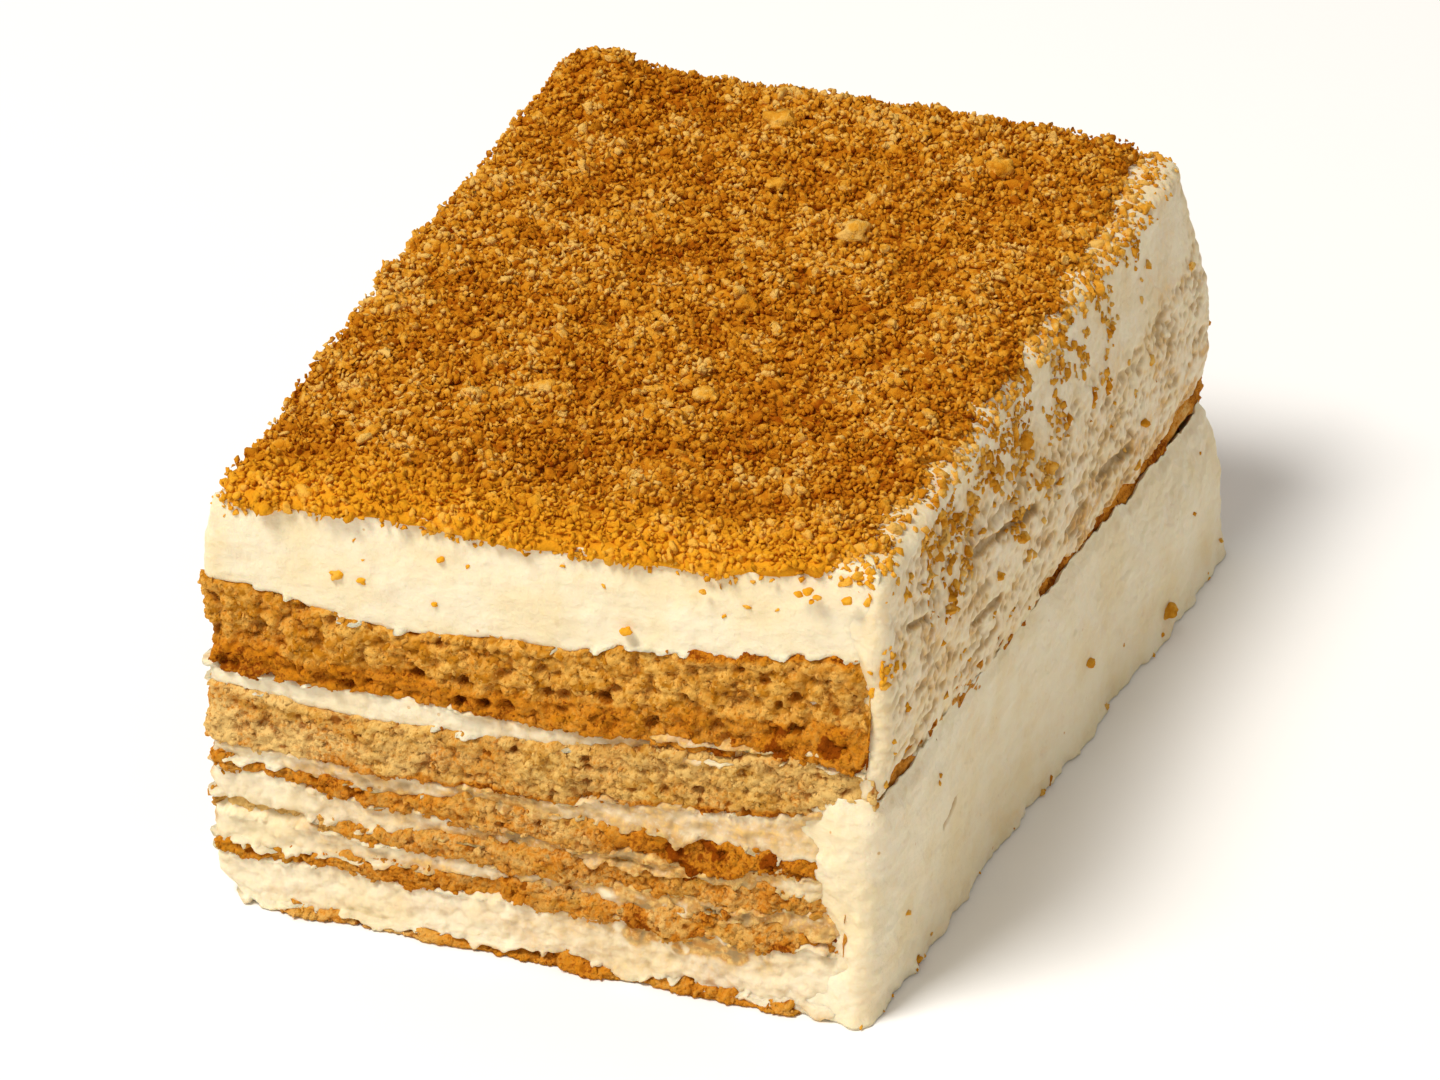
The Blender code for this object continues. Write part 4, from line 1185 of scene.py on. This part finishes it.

# %% [markdown]
# A crumb is a small angular lump. Geometry Nodes strew points over a surface, put a faceted ball on each
# with its own turn and size, store its tone, darkened as painted shade where the bed lies low, make the
# balls real and then push their corners about, so no two are alike.

# %% Crumbs by Geometry Nodes


def crumb_tree():
    inputs = (
        ("Crumbs per m2", "Float"),
        ("Least Distance", "Float"),
        ("Radius", "Float"),
        ("Spread", "Float"),
        ("Ragged", "Float"),
        ("Sides", "Int"),
        ("Sink", "Float"),
        ("Darkest", "Float"),
        ("Palest", "Float"),
        ("Seed", "Int"),
        ("Material", "Material"),
    )
    graph, given = new_tree("Strewn crumbs", inputs)
    share = graph.add("GeometryNodeInputNamedAttribute", {"data_type": "FLOAT"}, {0: "crumbs"})
    strew = {"distribute_method": "POISSON"}
    sockets = {0: given["Geometry"], 2: given["Least Distance"], 3: given["Crumbs per m2"]}
    sockets.update({5: share, 6: given["Seed"]})
    strewn = graph.add("GeometryNodeDistributePointsOnFaces", strew, sockets)
    normal = Value(graph, strewn.socket.node.outputs[1])
    down = graph.add("ShaderNodeVectorMath", {"operation": "SCALE"}, {0: normal, 3: given["Sink"] * -1.0})
    strewn = graph.add("GeometryNodeSetPosition", {}, {0: strewn, 3: down})
    ball = graph.add("GeometryNodeMeshIcoSphere", {}, {0: given["Radius"], 1: given["Sides"]})
    chance = {"data_type": "FLOAT_VECTOR"}
    angles = {0: (0, 0, 0), 1: (6.28, 6.28, 6.28), 8: given["Seed"]}
    turned = graph.add("FunctionNodeRandomValue", chance, angles)
    lengths = {0: (0.5, 0.5, 0.4), 1: (1.6, 1.35, 0.85), 8: given["Seed"] + 1}
    stretched = graph.add("FunctionNodeRandomValue", chance, lengths)
    odds = {2: 0.0, 3: 1.0, 8: given["Seed"] + 2}
    luck = graph.add("FunctionNodeRandomValue", {"data_type": "FLOAT"}, odds, out=1)
    size = 0.75 + given["Spread"] * (luck**3.0)
    scale = graph.add("ShaderNodeVectorMath", {"operation": "SCALE"}, {0: stretched, 3: size})
    placed = graph.add("GeometryNodeInstanceOnPoints", {}, {0: strewn, 2: ball, 5: turned, 6: scale})
    pick = {2: given["Darkest"], 3: given["Palest"], 8: given["Seed"] + 3}
    tone = graph.add("FunctionNodeRandomValue", {"data_type": "FLOAT"}, pick, out=1)
    # The bed's rise is added to the tone, so crumbs in its hollows come out darker as painted shade.
    tone = tone + graph.add("GeometryNodeInputNamedAttribute", {"data_type": "FLOAT"}, {0: "rise"})
    store = {"data_type": "FLOAT", "domain": "INSTANCE"}
    toned = graph.add("GeometryNodeStoreNamedAttribute", store, {0: placed, 2: "tone", 3: tone})
    real = graph.add("GeometryNodeRealizeInstances", {}, {0: toned})
    metres = graph.add("GeometryNodeInputPosition")
    sockets = {"Vector": metres, "Scale": 0.9 / given["Radius"], "Detail": 2.5}
    shake = graph.add("ShaderNodeTexNoise", {}, sockets, out=1)
    shake = graph.add("ShaderNodeVectorMath", {"operation": "SUBTRACT"}, {0: shake, 1: (0.5, 0.5, 0.5)})
    reach = given["Radius"] * given["Ragged"]
    shake = graph.add("ShaderNodeVectorMath", {"operation": "SCALE"}, {0: shake, 3: reach})
    ragged = graph.add("GeometryNodeSetPosition", {}, {0: real, 3: shake})
    sockets = {0: graph.add("GeometryNodeInputPosition"), 1: (-1.0, -1.0, 0.0)}
    above = graph.add("ShaderNodeVectorMath", {"operation": "MAXIMUM"}, sockets)
    kept = graph.add("GeometryNodeSetPosition", {}, {0: ragged, 2: above})
    soft = graph.add("GeometryNodeSetShadeSmooth", {}, {0: kept})
    end_tree(graph, graph.add("GeometryNodeSetMaterial", {}, {0: soft, 2: given["Material"]}))
    return graph


CRUMBS = crumb_tree()


def strew(
    name, surface, per_cm2, apart, radius, spread, sides, seed,
    sink=0.1, darkest=0.0, palest=1.0, material=toasted, node="crumb_topping", slot="crumb",
):
    """Crumbs on a surface. Sizes are in millimetres."""
    settings = {
        "Crumbs per m2": per_cm2 * 1e4,
        "Least Distance": apart * MM,
        "Radius": radius * MM,
        "Spread": spread,
        "Ragged": 2.4,
        "Sides": sides,
        "Sink": sink * MM,
        "Darkest": darkest,
        "Palest": palest,
        "Seed": seed,
        "Material": material,
    }
    return dress(grown(surface, CRUMBS, name, **settings), node, slot)


strew("crumbs_fine_a", bed, 110, 0.5, 0.44, 0.5, 1, 3, sink=0.0)
strew("crumbs_fine_b", bed, 110, 0.5, 0.42, 0.6, 1, 13, sink=-0.3, darkest=0.1)
strew("crumbs_fine_c", bed, 110, 0.5, 0.36, 0.6, 1, 14, sink=-0.6, darkest=0.2)
strew("crumbs_middle_a", bed, 26, 1.1, 0.68, 0.5, 2, 23, sink=0.0)
strew("crumbs_middle_b", bed, 20, 1.1, 0.62, 0.5, 2, 24, sink=-0.3, darkest=0.25)
strew("crumbs_coarse", bed, 1.2, 3.0, 0.85, 0.8, 3, 36, sink=0.35, darkest=0.4, palest=0.9)
loose = {"sink": 0.05, "darkest": 0.5, "palest": 1.0, "slot": "cream"}
strew("crumbs_on_side", upper, 280, 0.45, 0.42, 0.9, 1, 43, node="cream_1", **loose)
strew("crumbs_on_side_large", upper, 16, 1.2, 0.65, 0.8, 2, 45, node="cream_1", **loose)
strew("crumbs_on_lower_side", lower, 90, 0.5, 0.34, 0.8, 1, 44, node="cream_6", **loose)
strew("crumbs_on_front", made_layers["cream_1"], 260, 0.35, 0.36, 0.7, 1, 53, node="cream_1", **loose)
for seed, name in enumerate(LOOK):
    if "sponge" in name:
        own = {"material": LOOK[name][0], "node": name, "slot": slot_of(name)}
        strew(name + "_crumbs", made_layers[name], 230, 0.35, 0.27, 0.9, 1, 60 + seed, sink=0.08, **own)
        large = 30 if NAMES.index(name) < LIP else 8
        strew(name + "_lumps", made_layers[name], large, 1.0, 0.5, 0.7, 2, 70 + seed, sink=0.15, **own)

# %% [markdown]
# A few crumbs are large enough to be seen one by one: pale ones on the bed, and golden ones stuck to the
# cream. Each is a ball that the grain has pushed out of shape, set where it lies in the picture.

# %% Single large crumbs
# Stuck crumbs below this height lie on the lower band of the coat. Each row is a place and a radius.
SEAM_HEIGHT = 18.0
ON_BED = (
    (-6.9, 42.9, 1.9), (9.9, 18.7, 1.6), (3.9, -1.9, 1.3), (6.1, -21.8, 1.2),
    (-10.0, -26.0, 1.0), (16.3, -4.0, 0.9), (20.7, 39.7, 1.4), (-2.3, 27.8, 1.1),
)
ON_FRONT = (
    (-21.8, 42.2, 0.7), (-19.1, 42.0, 0.5), (-10.6, 45.8, 0.4), (8.9, 41.3, 0.55), (31.5, 48.9, 0.5),
    (26.6, 48.8, 0.4), (27.5, 49.2, 0.5), (28.5, 48.7, 0.4), (27.9, 48.2, 0.3), (-11.4, 40.6, 0.3),
    (16.8, 47.2, 0.35),
)
ON_SIDE = ((30.0, 3.2, 1.1), (6.5, 9.0, 0.6), (-20.0, 34.0, 0.6), (-3.0, 38.0, 0.8))


def large_crumbs(name, spots, material, node, slot):
    """Ragged balls of radius r at points (x, y, z, r)."""
    points, faces, tone = [], [], []
    for k, (x, y, z, r) in enumerate(spots):
        ball = bmesh.new()
        bmesh.ops.create_icosphere(ball, subdivisions=3, radius=1.0)
        at = np.array([tuple(v.co) for v in ball.verts])
        start = sum(len(p) for p in points)
        faces += [tuple(v.index + start for v in f.verts) for f in ball.faces]
        ball.free()
        swell = 1 + 0.45 * grain(*(at * r).T, 0.6 * r + 0.2, 200 + k)
        swell = swell + 0.35 * grain(*(at * r).T, 0.3, 230 + k)
        points.append(at * swell[:, None] * r * (1.0, 0.9, 0.75) + (x, y, z))
        tone.append(np.full(len(at), 0.7 + 0.15 * math.sin(k * 2.1)))
    piece = make_piece(name, np.concatenate(points), faces, material, tone=np.concatenate(tone))
    return dress(piece, node, slot)


def on_coat(y, z):
    """The x of the coated side, with the bulge of the lower band."""
    v = (y + 55) / 108
    return float(place(1.0, v, z)[0]) + 0.3 + (float(np.interp(v, *LOWER_PROUD)) if z < SEAM_HEIGHT else 0.0)


bed_spots = [(x, y, float(boundary(TOP, x, y) + bed_height(x, y)) + 0.1 * r, r) for x, y, r in ON_BED]
front_spots = [(x, float(place(0.5, 0.0, z)[1]) - 0.1, z, r) for x, z, r in ON_FRONT]
side_spots = [(on_coat(y, z), y, z, r) for y, z, r in ON_SIDE]
large_crumbs("large_crumbs", bed_spots, toasted, "crumb_topping", "crumb")
high_spots = [spot for spot in side_spots if spot[2] >= SEAM_HEIGHT]
low_spots = [spot for spot in side_spots if spot[2] < SEAM_HEIGHT]
large_crumbs("stuck_crumbs", front_spots + high_spots, toasted, "cream_1", "cream")
large_crumbs("stuck_crumbs_low", low_spots, toasted, "cream_6", "cream")
